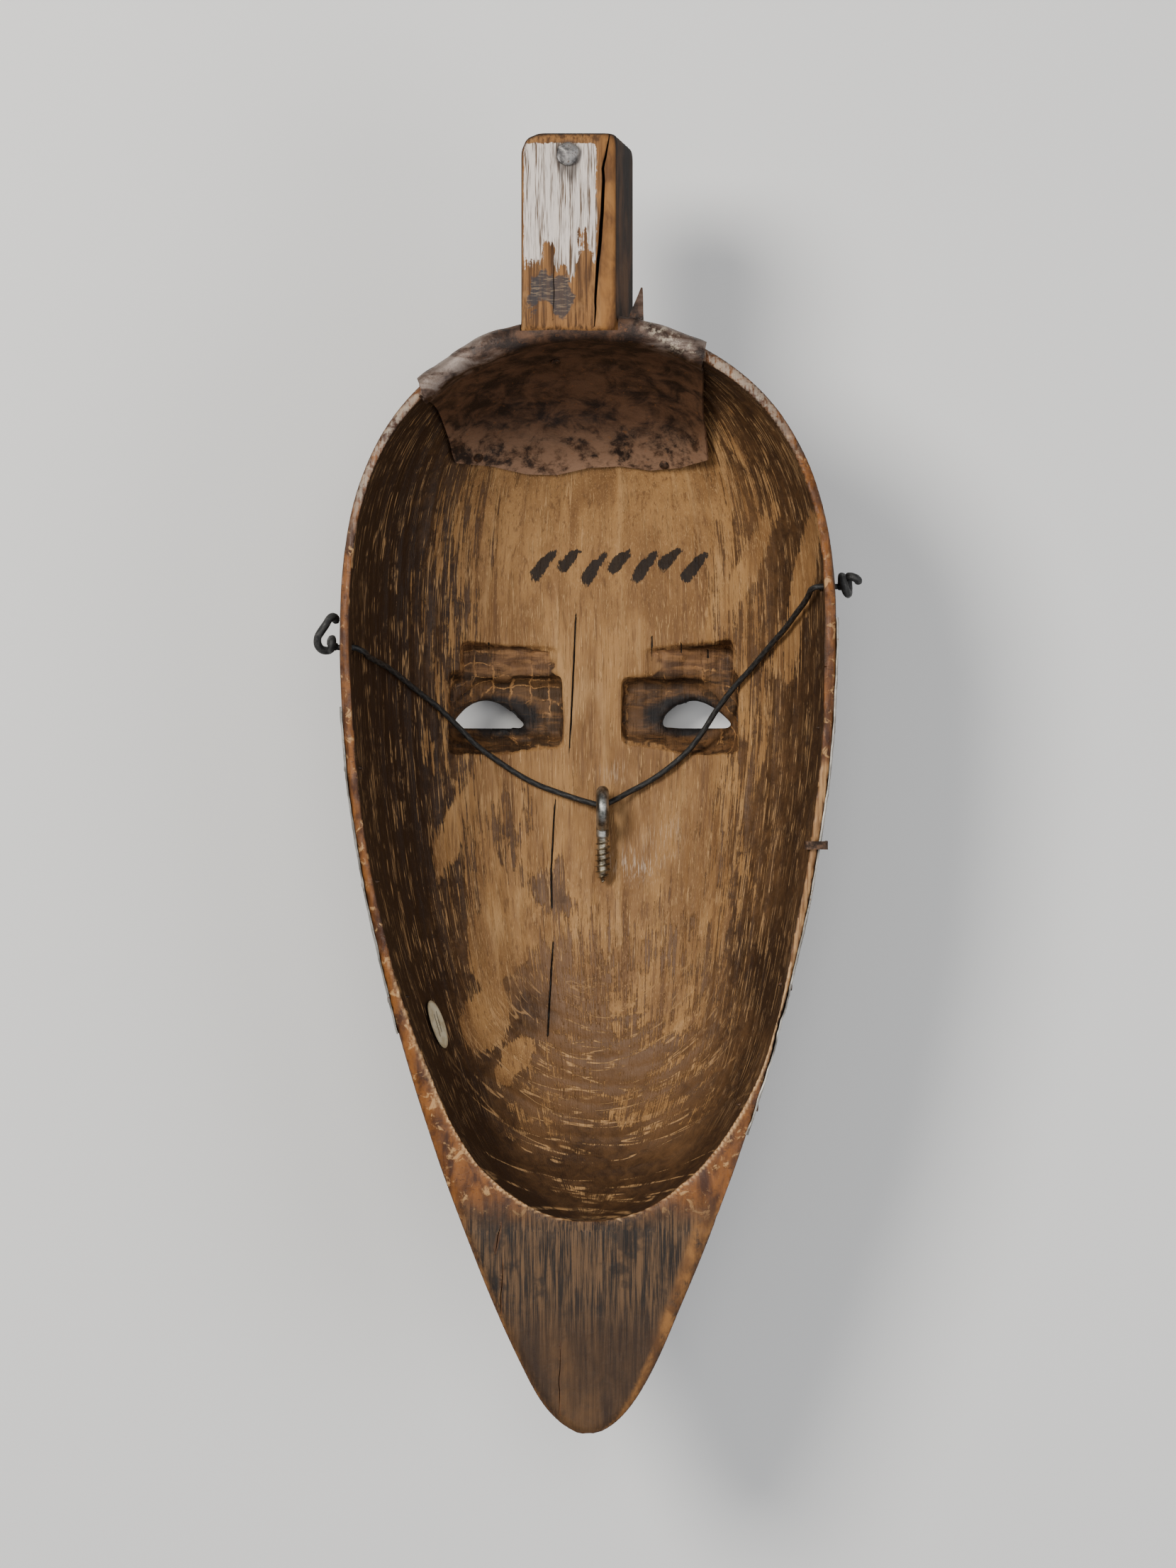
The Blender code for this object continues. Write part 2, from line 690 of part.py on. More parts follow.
def inner_row(down, columns):
    """A row inside the hollow: down is 0 at the rim and 1 at the sheet's lower edge."""
    row = []
    for i in range(columns):
        x = sheet_x(i / (columns - 1), down)
        edge = crown_edge_y(x, hollow_half_width, HOLLOW_TOP_Y)
        y = between(edge, SHEET_FOOT_Y, 1 - math.cos(math.pi / 2 * down))
        row.append((x, y, hollow_z(x, y) if down else RIM_Z - EDGE_ROUND / 2))
    return row


def outer_row(depth, columns):
    row = []
    for i in range(columns):
        x = sheet_x(i / (columns - 1), 0)
        row.append((x, front_y_at_depth(x, depth), RIM_Z - depth))
    return row


def rim_row(share_out, drop, columns):
    row = []
    for i in range(columns):
        x = sheet_x(i / (columns - 1), 0)
        inside = crown_edge_y(x, hollow_half_width, HOLLOW_TOP_Y)
        outside = crown_edge_y(x, half_width, CROWN_Y)
        row.append((x, between(inside, outside, share_out), RIM_Z - drop))
    return row


SHEET_COLUMNS = 15
sheet_rows = [inner_row(1 - i / 6, SHEET_COLUMNS) for i in range(7)]
sheet_rows += [rim_row(share_out, 0.0, SHEET_COLUMNS) for share_out in (0.03, 0.5, 0.96)]
sheet_rows += [rim_row(1.0, EDGE_ROUND / 2, SHEET_COLUMNS)]
sheet_rows += [outer_row(SHEET_FRONT_DROP * i / 5 + EDGE_BAND, SHEET_COLUMNS) for i in range(6)]


def sheet_stand_off(point):
    """Close to the wood, and sprung away from it along the right edge inside the hollow."""
    inside = share(RIM_Z - point.z, EDGE_ROUND, HOLLOW_DEPTH / 3)
    inside *= 1 - share(point.y, SHEET_FOOT_Y, HOLLOW_TOP_Y) ** 4
    inside *= point.y < crown_edge_y(point.x, hollow_half_width, HOLLOW_TOP_Y)
    return SHEET_GAP + SHEET_LIFT * inside * share(point.x, SHEET_FOOT_RIGHT_X / 2, SHEET_FOOT_RIGHT_X) ** 2


forehead_sheet = sheet(
    "forehead_sheet", sheet_rows, sheet_stand_off, SHEET_THICKNESS, (0, -1, 1), RUSTED_IRON
)
boolean(forehead_sheet, "DIFFERENCE", SHEET_CUTS)
post("post_clearance", SHEET_CUTS, FIT_GAP)


def tab_section(z):
    """The torn corner of the sheet that stands up beside the post."""
    off = SHEET_GAP + SHEET_THICKNESS / 2
    foot = [(x, crown_edge_y(x, half_width, CROWN_Y) + off, z) for x in (TAB_NEAR_X, TAB_FAR_X)]
    return foot + [(TAB_FAR_X - SHEET_THICKNESS, TAB_TIP_Y, z)]


TORN = collection("torn corner of the sheet")
tab_zs = (RIM_Z - TAB_DROP, RIM_Z - TAB_DROP + SHEET_THICKNESS)
loft("torn_tab", [tab_section(z) for z in tab_zs], TORN)
boolean(forehead_sheet, "UNION", TORN)


# Cheek facings: thin metal beaten over the sides
def facing_rows(side, top_y, foot_y, columns=10, rows=6):
    ys = [between(top_y, foot_y, i / (columns - 1)) for i in range(columns)]
    made = [[(side * half_width(y), y, RIM_Z - FACING_RIM_DROP) for y in ys]]
    for i in range(rows):
        turn = between(1, FACING_REACH, i / (rows - 1))
        made.append([front_point(y, side * turn) for y in ys])
    return made


for word, side, (top_y, foot_y) in (
    ("left", -1, (LEFT_FACING_TOP_Y, LEFT_FACING_FOOT_Y)),
    ("right", 1, (RIGHT_FACING_TOP_Y, RIGHT_FACING_FOOT_Y)),
):
    rows = facing_rows(side, top_y, foot_y)
    facing = sheet(
        f"{word}_cheek_facing", rows, lambda _: SHEET_GAP, FACING_THICKNESS, (side, 0, 0), GREY_METAL
    )
    boolean(facing, "DIFFERENCE", FACING_CUTS)


# Nails: a flat head on a round shank, in a bore with a little clearance
def nail(name, under_head, inward, head, thickness, shank, length, sides, bores):
    """under_head is the middle of the head's underside, and inward the way the shank runs."""
    profile = [
        (0, thickness),
        (head * 0.32, thickness * 0.92),
        (head * 0.5, thickness * 0.4),
        (head * 0.5, 0),
        (shank / 2, 0),
        (shank / 2, -length + shank),
        (0, -length),
    ]
    made = turned(name, profile, sides, PARTS, IRON)
    made.location = under_head
    made.rotation_euler = (-Vector(inward)).to_track_quat("Z", "Y").to_euler()
    reach = Vector(inward).normalized() * (length + BORE_CLEARANCE)
    back_off = Vector(inward).normalized() * -thickness
    start = Vector(under_head) + back_off
    for group in bores:
        rod(f"{name}_bore", start, Vector(under_head) + reach, shank + 2 * BORE_CLEARANCE, 8, group)
    return made


nail(
    "crest_nail",
    (CREST_NAIL_X, CREST_NAIL_Y, RIM_Z + POST_PROUD + FIT_GAP),
    (0, 0, -1),
    CREST_NAIL_HEAD,
    CREST_NAIL_THICKNESS,
    CREST_NAIL_SHANK,
    CREST_NAIL_LENGTH,
    9,
    (WOOD_CUTS,),
)

for word, side, ys in (("left", -1, LEFT_NAIL_YS), ("right", 1, RIGHT_NAIL_YS)):
    for number, y in enumerate(ys, 1):
        z = RIM_Z - CHEEK_NAIL_DROP
        off = 2 * SHEET_GAP + FACING_THICKNESS
        outside = side * (half_width(y) + off)
        down = CHEEK_NAIL_DROP / hollow_depth(y)
        inside = hollow_half_width(y) * (1 - down**2) ** (1 / HOLLOW_SECTION_POWER)
        length = abs(outside - hollow_middle(y) - side * inside) + CHEEK_NAIL_TIP
        nail(
            f"{word}_cheek_nail_{number}",
            (outside, y, z),
            (-side, 0, 0),
            CHEEK_NAIL_HEAD,
            CHEEK_NAIL_THICKNESS,
            CHEEK_NAIL_SHANK,
            length,
            8,
            (WOOD_CUTS, FACING_CUTS),
        )

for number, (x, y) in enumerate(SHEET_NAIL_PLACES, 1):
    normal = hollow_normal(x, y)
    on_wood = Vector((x, y, hollow_z(x, y)))
    lift = sheet_stand_off(on_wood) + SHEET_THICKNESS + SHEET_GAP
    nail(
        f"sheet_nail_{number}",
        on_wood + normal * lift,
        -normal,
        SHEET_NAIL_HEAD,
        SHEET_NAIL_THICKNESS,
        SHEET_NAIL_SHANK,
        SHEET_NAIL_LENGTH,
        8,
        (WOOD_CUTS, SHEET_CUTS),
    )


# Clip: a strip of iron bent over the right rim, outside the facing
def clip_section(y):
    inner = hollow_middle(y) + hollow_half_width(y) - SHEET_GAP
    outer = half_width(y) + SHEET_GAP + FACING_THICKNESS + FIT_GAP
    foot, top = RIM_Z - CLIP_LEG, RIM_Z + FIT_GAP
    return [
        (inner - CLIP_THICKNESS, y, foot),
        (inner, y, foot),
        (inner, y, top),
        (outer, y, top),
        (outer, y, foot),
        (outer + CLIP_THICKNESS, y, foot),
        (outer + CLIP_THICKNESS, y, top + CLIP_THICKNESS),
        (inner - CLIP_THICKNESS, y, top + CLIP_THICKNESS),
    ]


clip_ys = (CLIP_Y - CLIP_WIDTH / 2, CLIP_Y + CLIP_WIDTH / 2)
loft("rim_clip", [clip_section(y) for y in clip_ys], PARTS, IRON)


# Paper label: an oval stuck on the left wall
def label_rows(steps=10):
    middle = hollow_point(LABEL_Y, LABEL_TURN)
    step = 0.01
    across = (hollow_point(LABEL_Y, LABEL_TURN + step) - middle) / step
    rows = []
    for i in range(steps + 1):
        along = math.cos(math.pi * (1 - i / steps))
        half = LABEL_BREADTH / 2 * max(math.sin(math.pi * i / steps), 0.12)
        y = LABEL_Y + along * LABEL_LENGTH / 2
        turn = half / across.length
        rows.append([hollow_point(y, LABEL_TURN + turn * j / 2) for j in range(-2, 3)])
    return rows


sheet("paper_label", label_rows(), lambda _: SHEET_GAP, LABEL_THICKNESS, (1, 0, 1), PAPER)


# Cord: from hole to hole, lying in the hollow and over the wire of the screw eye, points in millimetres
CORD_ROUTE = (
    (-79.4, 46.2, 95.0),
    (-76.7, 45.2, 93.8),
    (-75.3, 44.3, 90.6),
    (-75.2, 43.6, 85.5),
    (-74.2, 43.0, 79.6),
    (-72.0, 41.8, 73.0),
    (-69.2, 40.3, 66.6),
    (-65.3, 37.3, 59.4),
    (-61.1, 33.8, 52.9),
    (-57.0, 30.5, 47.8),
    (-52.8, 27.2, 43.8),
    (-48.3, 22.8, 39.8),
    (-44.1, 18.6, 36.7),
    (-39.0, 13.4, 33.9),
    (-32.4, 8.5, 31.0),
    (-24.4, 3.2, 28.7),
    (-17.5, -0.4, 27.6),
    (-10.5, -3.0, 27.2),
    (-5.0, -4.9, 28.1),
    (0.0, -6.4, 30.2),
    (5.1, -7.4, 31.6),
    (9.9, -5.4, 30.4),
    (14.6, -2.8, 28.3),
    (19.6, -0.2, 27.6),
    (24.4, 2.7, 28.5),
    (30.2, 7.1, 30.3),
    (35.9, 12.4, 32.3),
    (41.0, 19.3, 34.6),
    (45.2, 26.0, 37.2),
    (51.2, 33.9, 42.0),
    (57.0, 40.4, 47.8),
    (63.7, 48.6, 57.0),
    (67.9, 53.5, 64.6),
    (71.2, 58.2, 72.8),
    (73.9, 62.0, 80.6),
    (75.1, 64.4, 86.4),
    (75.5, 65.7, 91.0),
    (76.9, 66.6, 94.0),
    (79.4, 66.8, 95.0),
)


def smooth_through(route, spacing):
    """Points at even steps along a smooth curve through the route's own points."""
    ends = [2 * route[0] - route[1], *route, 2 * route[-1] - route[-2]]
    fine = []
    for before, start, end, after in zip(ends, ends[1:], ends[2:], ends[3:]):
        for i in range(12):
            t = i / 12
            turn = (end - before) * t + (2 * before - 5 * start + 4 * end - after) * t**2
            turn += (3 * (start - end) + after - before) * t**3
            fine.append(start + turn / 2)
    fine.append(route[-1])
    travelled = [0.0]
    for near, far in zip(fine, fine[1:]):
        travelled.append(travelled[-1] + (far - near).length)
    count = round(travelled[-1] / spacing)
    even, place = [], 0
    for i in range(count + 1):
        target = travelled[-1] * i / count
        while place < len(fine) - 2 and travelled[place + 1] < target:
            place += 1
        along = (target - travelled[place]) / (travelled[place + 1] - travelled[place])
        even.append(fine[place].lerp(fine[place + 1], min(max(along, 0.0), 1.0)))
    return even


left_wall, right_wall = -half_width(LEFT_HOLE_Y), half_width(RIGHT_HOLE_Y)
cord_route = [Vector(point) / 1000 for point in CORD_ROUTE]
cord_route.insert(0, Vector((left_wall - CORD_END_PROUD, LEFT_HOLE_Y, HOLE_Z)))
cord_route.append(Vector((right_wall + CORD_END_PROUD, RIGHT_HOLE_Y, HOLE_Z)))
curve_tube("cord", smooth_through(cord_route, CORD_SPACING), CORD_DIAMETER, PARTS, WAXED_CORD)


# Knots: a threefold knot at each end of the cord, outside the wall
def knot(name, side, wall, y, steps=30):
    reach = KNOT_HALF_LENGTH + KNOT_STRAND / 2
    middle = Vector((wall + side * (CORD_END_PROUD + FIT_GAP + reach), y, HOLE_Z))
    points = []
    for i in range(steps):
        turn = 2 * math.pi * i / steps
        out = -KNOT_HALF_LENGTH * math.sin(3 * turn)
        lobe_y = KNOT_LOBE * (math.sin(turn) + 2 * math.sin(2 * turn))
        lobe_z = KNOT_LOBE * (math.cos(turn) - 2 * math.cos(2 * turn))
        points.append(middle + Vector((out, lobe_y, lobe_z)))
    curve_tube(name, points, KNOT_STRAND, PARTS, WAXED_CORD, cyclic=True)


knot("left_knot", -1, left_wall, LEFT_HOLE_Y)
knot("right_knot", 1, right_wall, RIGHT_HOLE_Y)


# Screw eye: the cord runs through its ring, and its thread points towards the chin
def eye_rest(y, radius):
    return Vector((EYE_X, y, hollow_z(EYE_X, y) + radius + 2 * FIT_GAP))


eye_middle = eye_rest(EYE_RING_Y, EYE_OUTER / 2)
eye_tip = eye_rest(EYE_TIP_Y, THREAD_OUTER / 2)
eye_length = (eye_tip - eye_middle).length
thread_top = THREAD_LENGTH - eye_length
pitch = THREAD_LENGTH / (THREAD_TURNS + 1)
eye_profile = [
    (0, -EYE_OUTER / 2 + EYE_WIRE / 2),
    (EYE_WIRE / 2, -EYE_OUTER / 2 + EYE_WIRE / 2),
    (EYE_WIRE / 2, thread_top + EYE_COLLAR),
]
for i in range(THREAD_TURNS):
    slim = 1 - 0.35 * (i / THREAD_TURNS) ** 3
    root = thread_top - pitch * i
    eye_profile.append((THREAD_CORE / 2 * slim, root))
    eye_profile.append((THREAD_OUTER / 2 * slim, root - pitch / 2))
eye_profile.append((THREAD_CORE / 2 * 0.6, thread_top - pitch * THREAD_TURNS))
eye_profile.append((0, -eye_length))

RING = collection("ring of the screw eye")
ring_radius = (EYE_OUTER - EYE_WIRE) / 2
ring_turns = [2 * math.pi * i / 20 for i in range(20)]
ring_points = [(0, ring_radius * math.cos(a), ring_radius * math.sin(a)) for a in ring_turns]
ring = as_mesh(curve_tube("ring", ring_points, EYE_WIRE, RING, None, True), RING)
screw_eye = turned("screw_eye", eye_profile, 10, PARTS, STEEL)
for piece in (ring, screw_eye):
    piece.location = eye_middle
    piece.rotation_euler = (eye_middle - eye_tip).to_track_quat("Z", "Y").to_euler()
boolean(screw_eye, "UNION", RING)

# The shell takes its carving, then every cut
boolean(mask_body, "UNION", CARVED_ON)
boolean(mask_body, "DIFFERENCE", WOOD_CUTS)
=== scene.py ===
import math

import bmesh
import bpy
import numpy as np
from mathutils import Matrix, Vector
from mathutils.bvhtree import BVHTree


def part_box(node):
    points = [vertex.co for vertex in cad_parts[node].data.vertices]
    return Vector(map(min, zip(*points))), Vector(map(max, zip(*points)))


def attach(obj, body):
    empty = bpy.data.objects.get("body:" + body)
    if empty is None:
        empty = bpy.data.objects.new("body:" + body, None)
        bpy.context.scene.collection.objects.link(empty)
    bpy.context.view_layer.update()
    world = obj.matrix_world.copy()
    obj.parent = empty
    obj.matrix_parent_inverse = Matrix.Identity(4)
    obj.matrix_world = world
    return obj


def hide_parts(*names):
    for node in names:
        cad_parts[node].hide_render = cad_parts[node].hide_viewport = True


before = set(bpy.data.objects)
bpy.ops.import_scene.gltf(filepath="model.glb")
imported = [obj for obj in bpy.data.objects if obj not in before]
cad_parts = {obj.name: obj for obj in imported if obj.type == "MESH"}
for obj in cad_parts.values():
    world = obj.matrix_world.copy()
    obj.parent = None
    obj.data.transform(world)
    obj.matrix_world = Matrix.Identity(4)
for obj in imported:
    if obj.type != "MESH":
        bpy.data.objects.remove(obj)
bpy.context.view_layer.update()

# Camera: the mask lies on its face with its hollow up, and the camera looks straight down from 1.5 m
# above the rim. At the rim, the view takes in 527 mm from top to bottom.
RIM_Z = 0.106
CAMERA_RISE = 1.5
VIEW_HEIGHT = 0.5267
SENSOR_MM = 24


def placed(name, data):
    """A new object in the scene."""
    made = bpy.data.objects.new(name, data)
    bpy.context.scene.collection.objects.link(made)
    return made


camera = placed("camera", bpy.data.cameras.new("camera"))
camera.location = (0, 0, RIM_Z + CAMERA_RISE)
camera.data.sensor_fit = "VERTICAL"
camera.data.sensor_height = SENSOR_MM
camera.data.lens = SENSOR_MM * CAMERA_RISE / VIEW_HEIGHT
bpy.context.scene.camera = camera

# Cord: one length of black braided and waxed cord, 2 mm thick. It comes in through a hole in each wall,
# lies in the hollow and runs through the ring of the screw eye, and is knotted outside both walls.
CORD_DIAMETER = 0.002
CORD_HOLE_DROP = 0.011
CORD_END_GAP = 0.0004
CORD_ROUTE = (
    (-79.4, 46.2, 95.0),
    (-76.7, 45.2, 93.8),
    (-75.3, 44.3, 90.6),
    (-75.2, 43.6, 85.5),
    (-74.2, 43.0, 79.6),
    (-72.0, 41.8, 73.0),
    (-69.2, 40.3, 66.6),
    (-65.3, 37.3, 59.4),
    (-61.1, 33.8, 52.9),
    (-57.0, 30.5, 47.8),
    (-52.8, 27.2, 43.8),
    (-48.3, 22.8, 39.8),
    (-44.1, 18.6, 36.7),
    (-39.0, 13.4, 33.9),
    (-32.4, 8.5, 31.0),
    (-24.4, 3.2, 28.7),
    (-17.5, -0.4, 27.6),
    (-10.5, -3.0, 27.2),
    (-5.0, -4.9, 28.1),
    (0.0, -6.4, 30.2),
    (5.1, -7.4, 31.6),
    (9.9, -5.4, 30.4),
    (14.6, -2.8, 28.3),
    (19.6, -0.2, 27.6),
    (24.4, 2.7, 28.5),
    (30.2, 7.1, 30.3),
    (35.9, 12.4, 32.3),
    (41.0, 19.3, 34.6),
    (45.2, 26.0, 37.2),
    (51.2, 33.9, 42.0),
    (57.0, 40.4, 47.8),
    (63.7, 48.6, 57.0),
    (67.9, 53.5, 64.6),
    (71.2, 58.2, 72.8),
    (73.9, 62.0, 80.6),
    (75.1, 64.4, 86.4),
    (75.5, 65.7, 91.0),
    (76.9, 66.6, 94.0),
    (79.4, 66.8, 95.0),
)
CORD_STEP = 0.0006
CURVE_STEPS = 12
BRAID_SIDES = 20
BRAID_STRANDS = 4
BRAID_PITCH = 0.0068
BRAID_RELIEF = 0.00010


def srgb(red, green, blue):
    """A linear colour from the 0 to 255 values of a colour picker."""
    shares = [value / 255 for value in (red, green, blue)]
    return (*[v / 12.92 if v <= 0.04045 else ((v + 0.055) / 1.055) ** 2.4 for v in shares], 1)


class Amount:
    """A number that varies over a surface. Arithmetic on it adds Math nodes."""

    def __init__(self, finish, socket):
        self.finish = finish
        self.socket = socket

    def math(self, operation, *others):
        values = dict(enumerate((self, *others)))
        node = self.finish.add("ShaderNodeMath", {"operation": operation}, values)
        return Amount(self.finish, node.outputs[0])

    def __add__(self, other):
        return self.math("ADD", other)

    __radd__ = __add__

    def __sub__(self, other):
        return self.math("SUBTRACT", other)

    def __rsub__(self, other):
        return self.math("MULTIPLY", -1).math("ADD", other)

    def __mul__(self, other):
        return self.math("MULTIPLY", other)

    __rmul__ = __mul__

    def larger(self, other):
        return self.math("MAXIMUM", other)

    def size(self):
        return self.math("ABSOLUTE")

    def rise(self, low, high):
        """0 up to low, 1 from high on and smooth between, or falling where low is above high."""
        ends = (low, high, 0, 1) if low < high else (high, low, 1, 0)
        values = {"Value": self} | dict(zip(("From Min", "From Max", "To Min", "To Max"), ends))
        node = self.finish.add("ShaderNodeMapRange", {"interpolation_type": "SMOOTHSTEP"}, values)
        return Amount(self.finish, node.outputs[0])


class Finish:
    """The finish of a surface: a material whose varying sockets are fed by expressions."""

    def __init__(self, name, **constants):
        self.material = bpy.data.materials.new(name)
        self.material.use_nodes = True
        self.tree = self.material.node_tree
        self.surface = self.tree.nodes["Principled BSDF"]
        self.place = self.add("ShaderNodeTexCoord").outputs["Object"]
        self.set(**constants)

    def feed(self, socket, value):
        source = value.socket if isinstance(value, Amount) else value
        if isinstance(source, bpy.types.NodeSocket):
            self.tree.links.new(source, socket)
        else:
            socket.default_value = source

    def set(self, **inputs):
        for name, value in inputs.items():
            self.feed(self.surface.inputs[name.replace("_", " ")], value)

    def add(self, kind, settings=None, values=None):
        """A node of a kind: its settings first, and then the values or links of its sockets."""
        node = self.tree.nodes.new(kind)
        for name, value in (settings or {}).items():
            setattr(node, name, value)
        for name, value in (values or {}).items():
            self.feed(node.inputs[name], value)
        return node

    def vertex(self, name):
        node = self.add("ShaderNodeAttribute", {"attribute_name": name})
        return Amount(self, node.outputs["Fac"])

    def vertex_vector(self, name):
        return self.add("ShaderNodeAttribute", {"attribute_name": name}).outputs["Vector"]

    def axes(self, vector):
        split = self.add("ShaderNodeSeparateXYZ", None, {0: vector})
        return [Amount(self, output) for output in split.outputs]

    def noise(self, scale, detail=3.0, roughness=0.5, distortion=0.0, at=None, shift=(0, 0, 0)):
        """Noise of one scale, or of one for each axis, so that a texture's grain can be long one way."""
        at = self.place if at is None else at
        if isinstance(scale, tuple):
            stretch = {0: at, 1: scale, 2: shift}
            at = self.add("ShaderNodeVectorMath", {"operation": "MULTIPLY_ADD"}, stretch).outputs[0]
            scale = 1.0
        values = {"Vector": at, "Scale": scale, "Detail": detail}
        values |= {"Roughness": roughness, "Distortion": distortion}
        return Amount(self, self.add("ShaderNodeTexNoise", None, values).outputs[0])

    def mix(self, share, *colours):
        """The first colour where the share is 0 and the second where it is 1."""
        one, two = [srgb(*colour) if isinstance(colour, tuple) else colour for colour in colours]
        return self.add("ShaderNodeMix", {"data_type": "RGBA"}, {0: share, 6: one, 7: two}).outputs[2]

    def coats(self, colour, *coats):
        """A colour under coats, each given by the share that it covers and its own colour."""
        for share, coat in coats:
            colour = self.mix(share, colour, coat)
        return colour

    def bump(self, height, depth, under=None):
        values = {"Height": height, "Distance": depth}
        if under is not None:
            values["Normal"] = under
        return self.add("ShaderNodeBump", None, values).outputs[0]


def add_piece(name, mesh, material, node):
    """Puts a mesh in the scene as the piece that replaces a CAD node and rides on the root."""
    piece = placed(name, mesh)
    mesh.materials.clear()
    mesh.materials.append(material)
    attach(piece, "root")
    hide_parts(node)
    return piece


def smooth_through(route, spacing):
    """Points at even steps along a smooth curve through the route's own points."""
    ends = [2 * route[0] - route[1], *route, 2 * route[-1] - route[-2]]
    fine = []
    for before, start, end, after in zip(ends, ends[1:], ends[2:], ends[3:]):
        for i in range(CURVE_STEPS):
            t = i / CURVE_STEPS
            turn = (end - before) * t + (2 * before - 5 * start + 4 * end - after) * t**2
            turn += (3 * (start - end) + after - before) * t**3
            fine.append(np.array(start + turn / 2))
    fine = np.array([*fine, np.array(route[-1])])
    travelled = np.concatenate([[0], np.cumsum(np.linalg.norm(np.diff(fine, axis=0), axis=1))])
    even = np.linspace(0, travelled[-1], round(travelled[-1] / spacing) + 1)
    return np.column_stack([np.interp(even, travelled, fine[:, axis]) for axis in range(3)])


def join_rings(shape, rings, caps=(0, -1)):
    """Quads from each ring of vertices to the next, and a face over each ring that caps names."""
    for near, far in zip(rings, rings[1:]):
        for j in range(len(near)):
            k = (j + 1) % len(near)
            shape.faces.new((near[j], near[k], far[k], far[j]))
    for number in caps:
        shape.faces.new(rings[number])


def mesh_of(name, shape, away=None):
    """The mesh of a solid, with its faces turned outwards, or of a sheet, with them turned towards away."""
    shape.normal_update()
    shape.faces.ensure_lookup_table()
    if away is None:
        bmesh.ops.recalc_face_normals(shape, faces=shape.faces)
    elif shape.faces[0].normal.dot(Vector(away)) < 0:
        bmesh.ops.reverse_faces(shape, faces=shape.faces)
    mesh = bpy.data.meshes.new(name)
    shape.to_mesh(mesh)
    shape.free()
    return mesh


def braided_tube(name, points, diameter, round_ends):
    """A tube along points with the diamond relief of a round braid."""
    ahead = np.roll(points, -1, axis=0) - np.roll(points, 1, axis=0)
    ahead[0], ahead[-1] = points[1] - points[0], points[-1] - points[-2]
    side = Vector((0.3, 0.2, 1.0)).cross(Vector(ahead[0])).normalized()
    shape = bmesh.new()
    braid_layer = shape.verts.layers.float_vector.new("braid")
    rings = []
    travelled = 0.0
    length = float(np.linalg.norm(np.diff(points, axis=0), axis=1).sum())
    for i, (point, direction) in enumerate(zip(points, ahead)):
        direction = Vector(direction).normalized()
        side = (side - direction * side.dot(direction)).normalized()
        up = direction.cross(side)
        travelled += float(np.linalg.norm(point - points[i - 1])) if i else 0.0
        slim = 1.0
        if round_ends:
            from_end = max(min(travelled, length - travelled), 0.0) / (diameter * 0.4)
            slim = 0.3 + 0.7 * math.sqrt(1 - (1 - min(from_end, 1.0)) ** 2)
        ring = []
        for j in range(BRAID_SIDES):
            angle = 2 * math.pi * j / BRAID_SIDES
            wave = 2 * math.pi * travelled / BRAID_PITCH
            weave = max(math.cos(BRAID_STRANDS * angle + wave), math.cos(BRAID_STRANDS * angle - wave))
            radius = (diameter / 2 - BRAID_RELIEF * (1 - weave) / 2) * slim
            spoke = side * math.cos(angle) + up * math.sin(angle)
            vertex = shape.verts.new(Vector(point) + spoke * radius)
            vertex[braid_layer] = (travelled, angle, weave)
            ring.append(vertex)
        rings.append(ring)
    join_rings(shape, rings)
    mesh = mesh_of(name, shape)
    mesh.shade_smooth()
    return mesh


def waxed_cord_finish():
    finish = Finish("waxed black cord", Specular_IOR_Level=0.4)
    crown = finish.axes(finish.vertex_vector("braid"))[2].rise(-0.2, 1.0)
    wax = finish.noise(900, 4, 0.6).rise(0.45, 0.72)
    fibres = finish.noise(5200, 2, 0.6)
    bare = finish.mix(crown * 0.4 + wax * 0.35, (17, 16, 16), (62, 61, 58))
    finish.set(
        Base_Color=finish.mix(fibres.rise(0.6, 0.8) * 0.35, bare, (105, 102, 96)),
        Roughness=0.62 - wax * 0.22,
        Normal=finish.bump(fibres + wax, 0.00006),
    )
    return finish.material


WAXED_CORD = waxed_cord_finish()
hole_z = RIM_Z - CORD_HOLE_DROP
cord_route = [Vector(point) / 1000 for point in CORD_ROUTE]
cord_start = Vector((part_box("left_knot")[1].x + CORD_END_GAP, cord_route[0].y, hole_z))
cord_end = Vector((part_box("right_knot")[0].x - CORD_END_GAP, cord_route[-1].y, hole_z))
cord_line = smooth_through([cord_start, *cord_route, cord_end], CORD_STEP)
cord_mesh = braided_tube("braided_cord", cord_line, CORD_DIAMETER, False)
cord = add_piece("braided_cord", cord_mesh, WAXED_CORD, "cord")

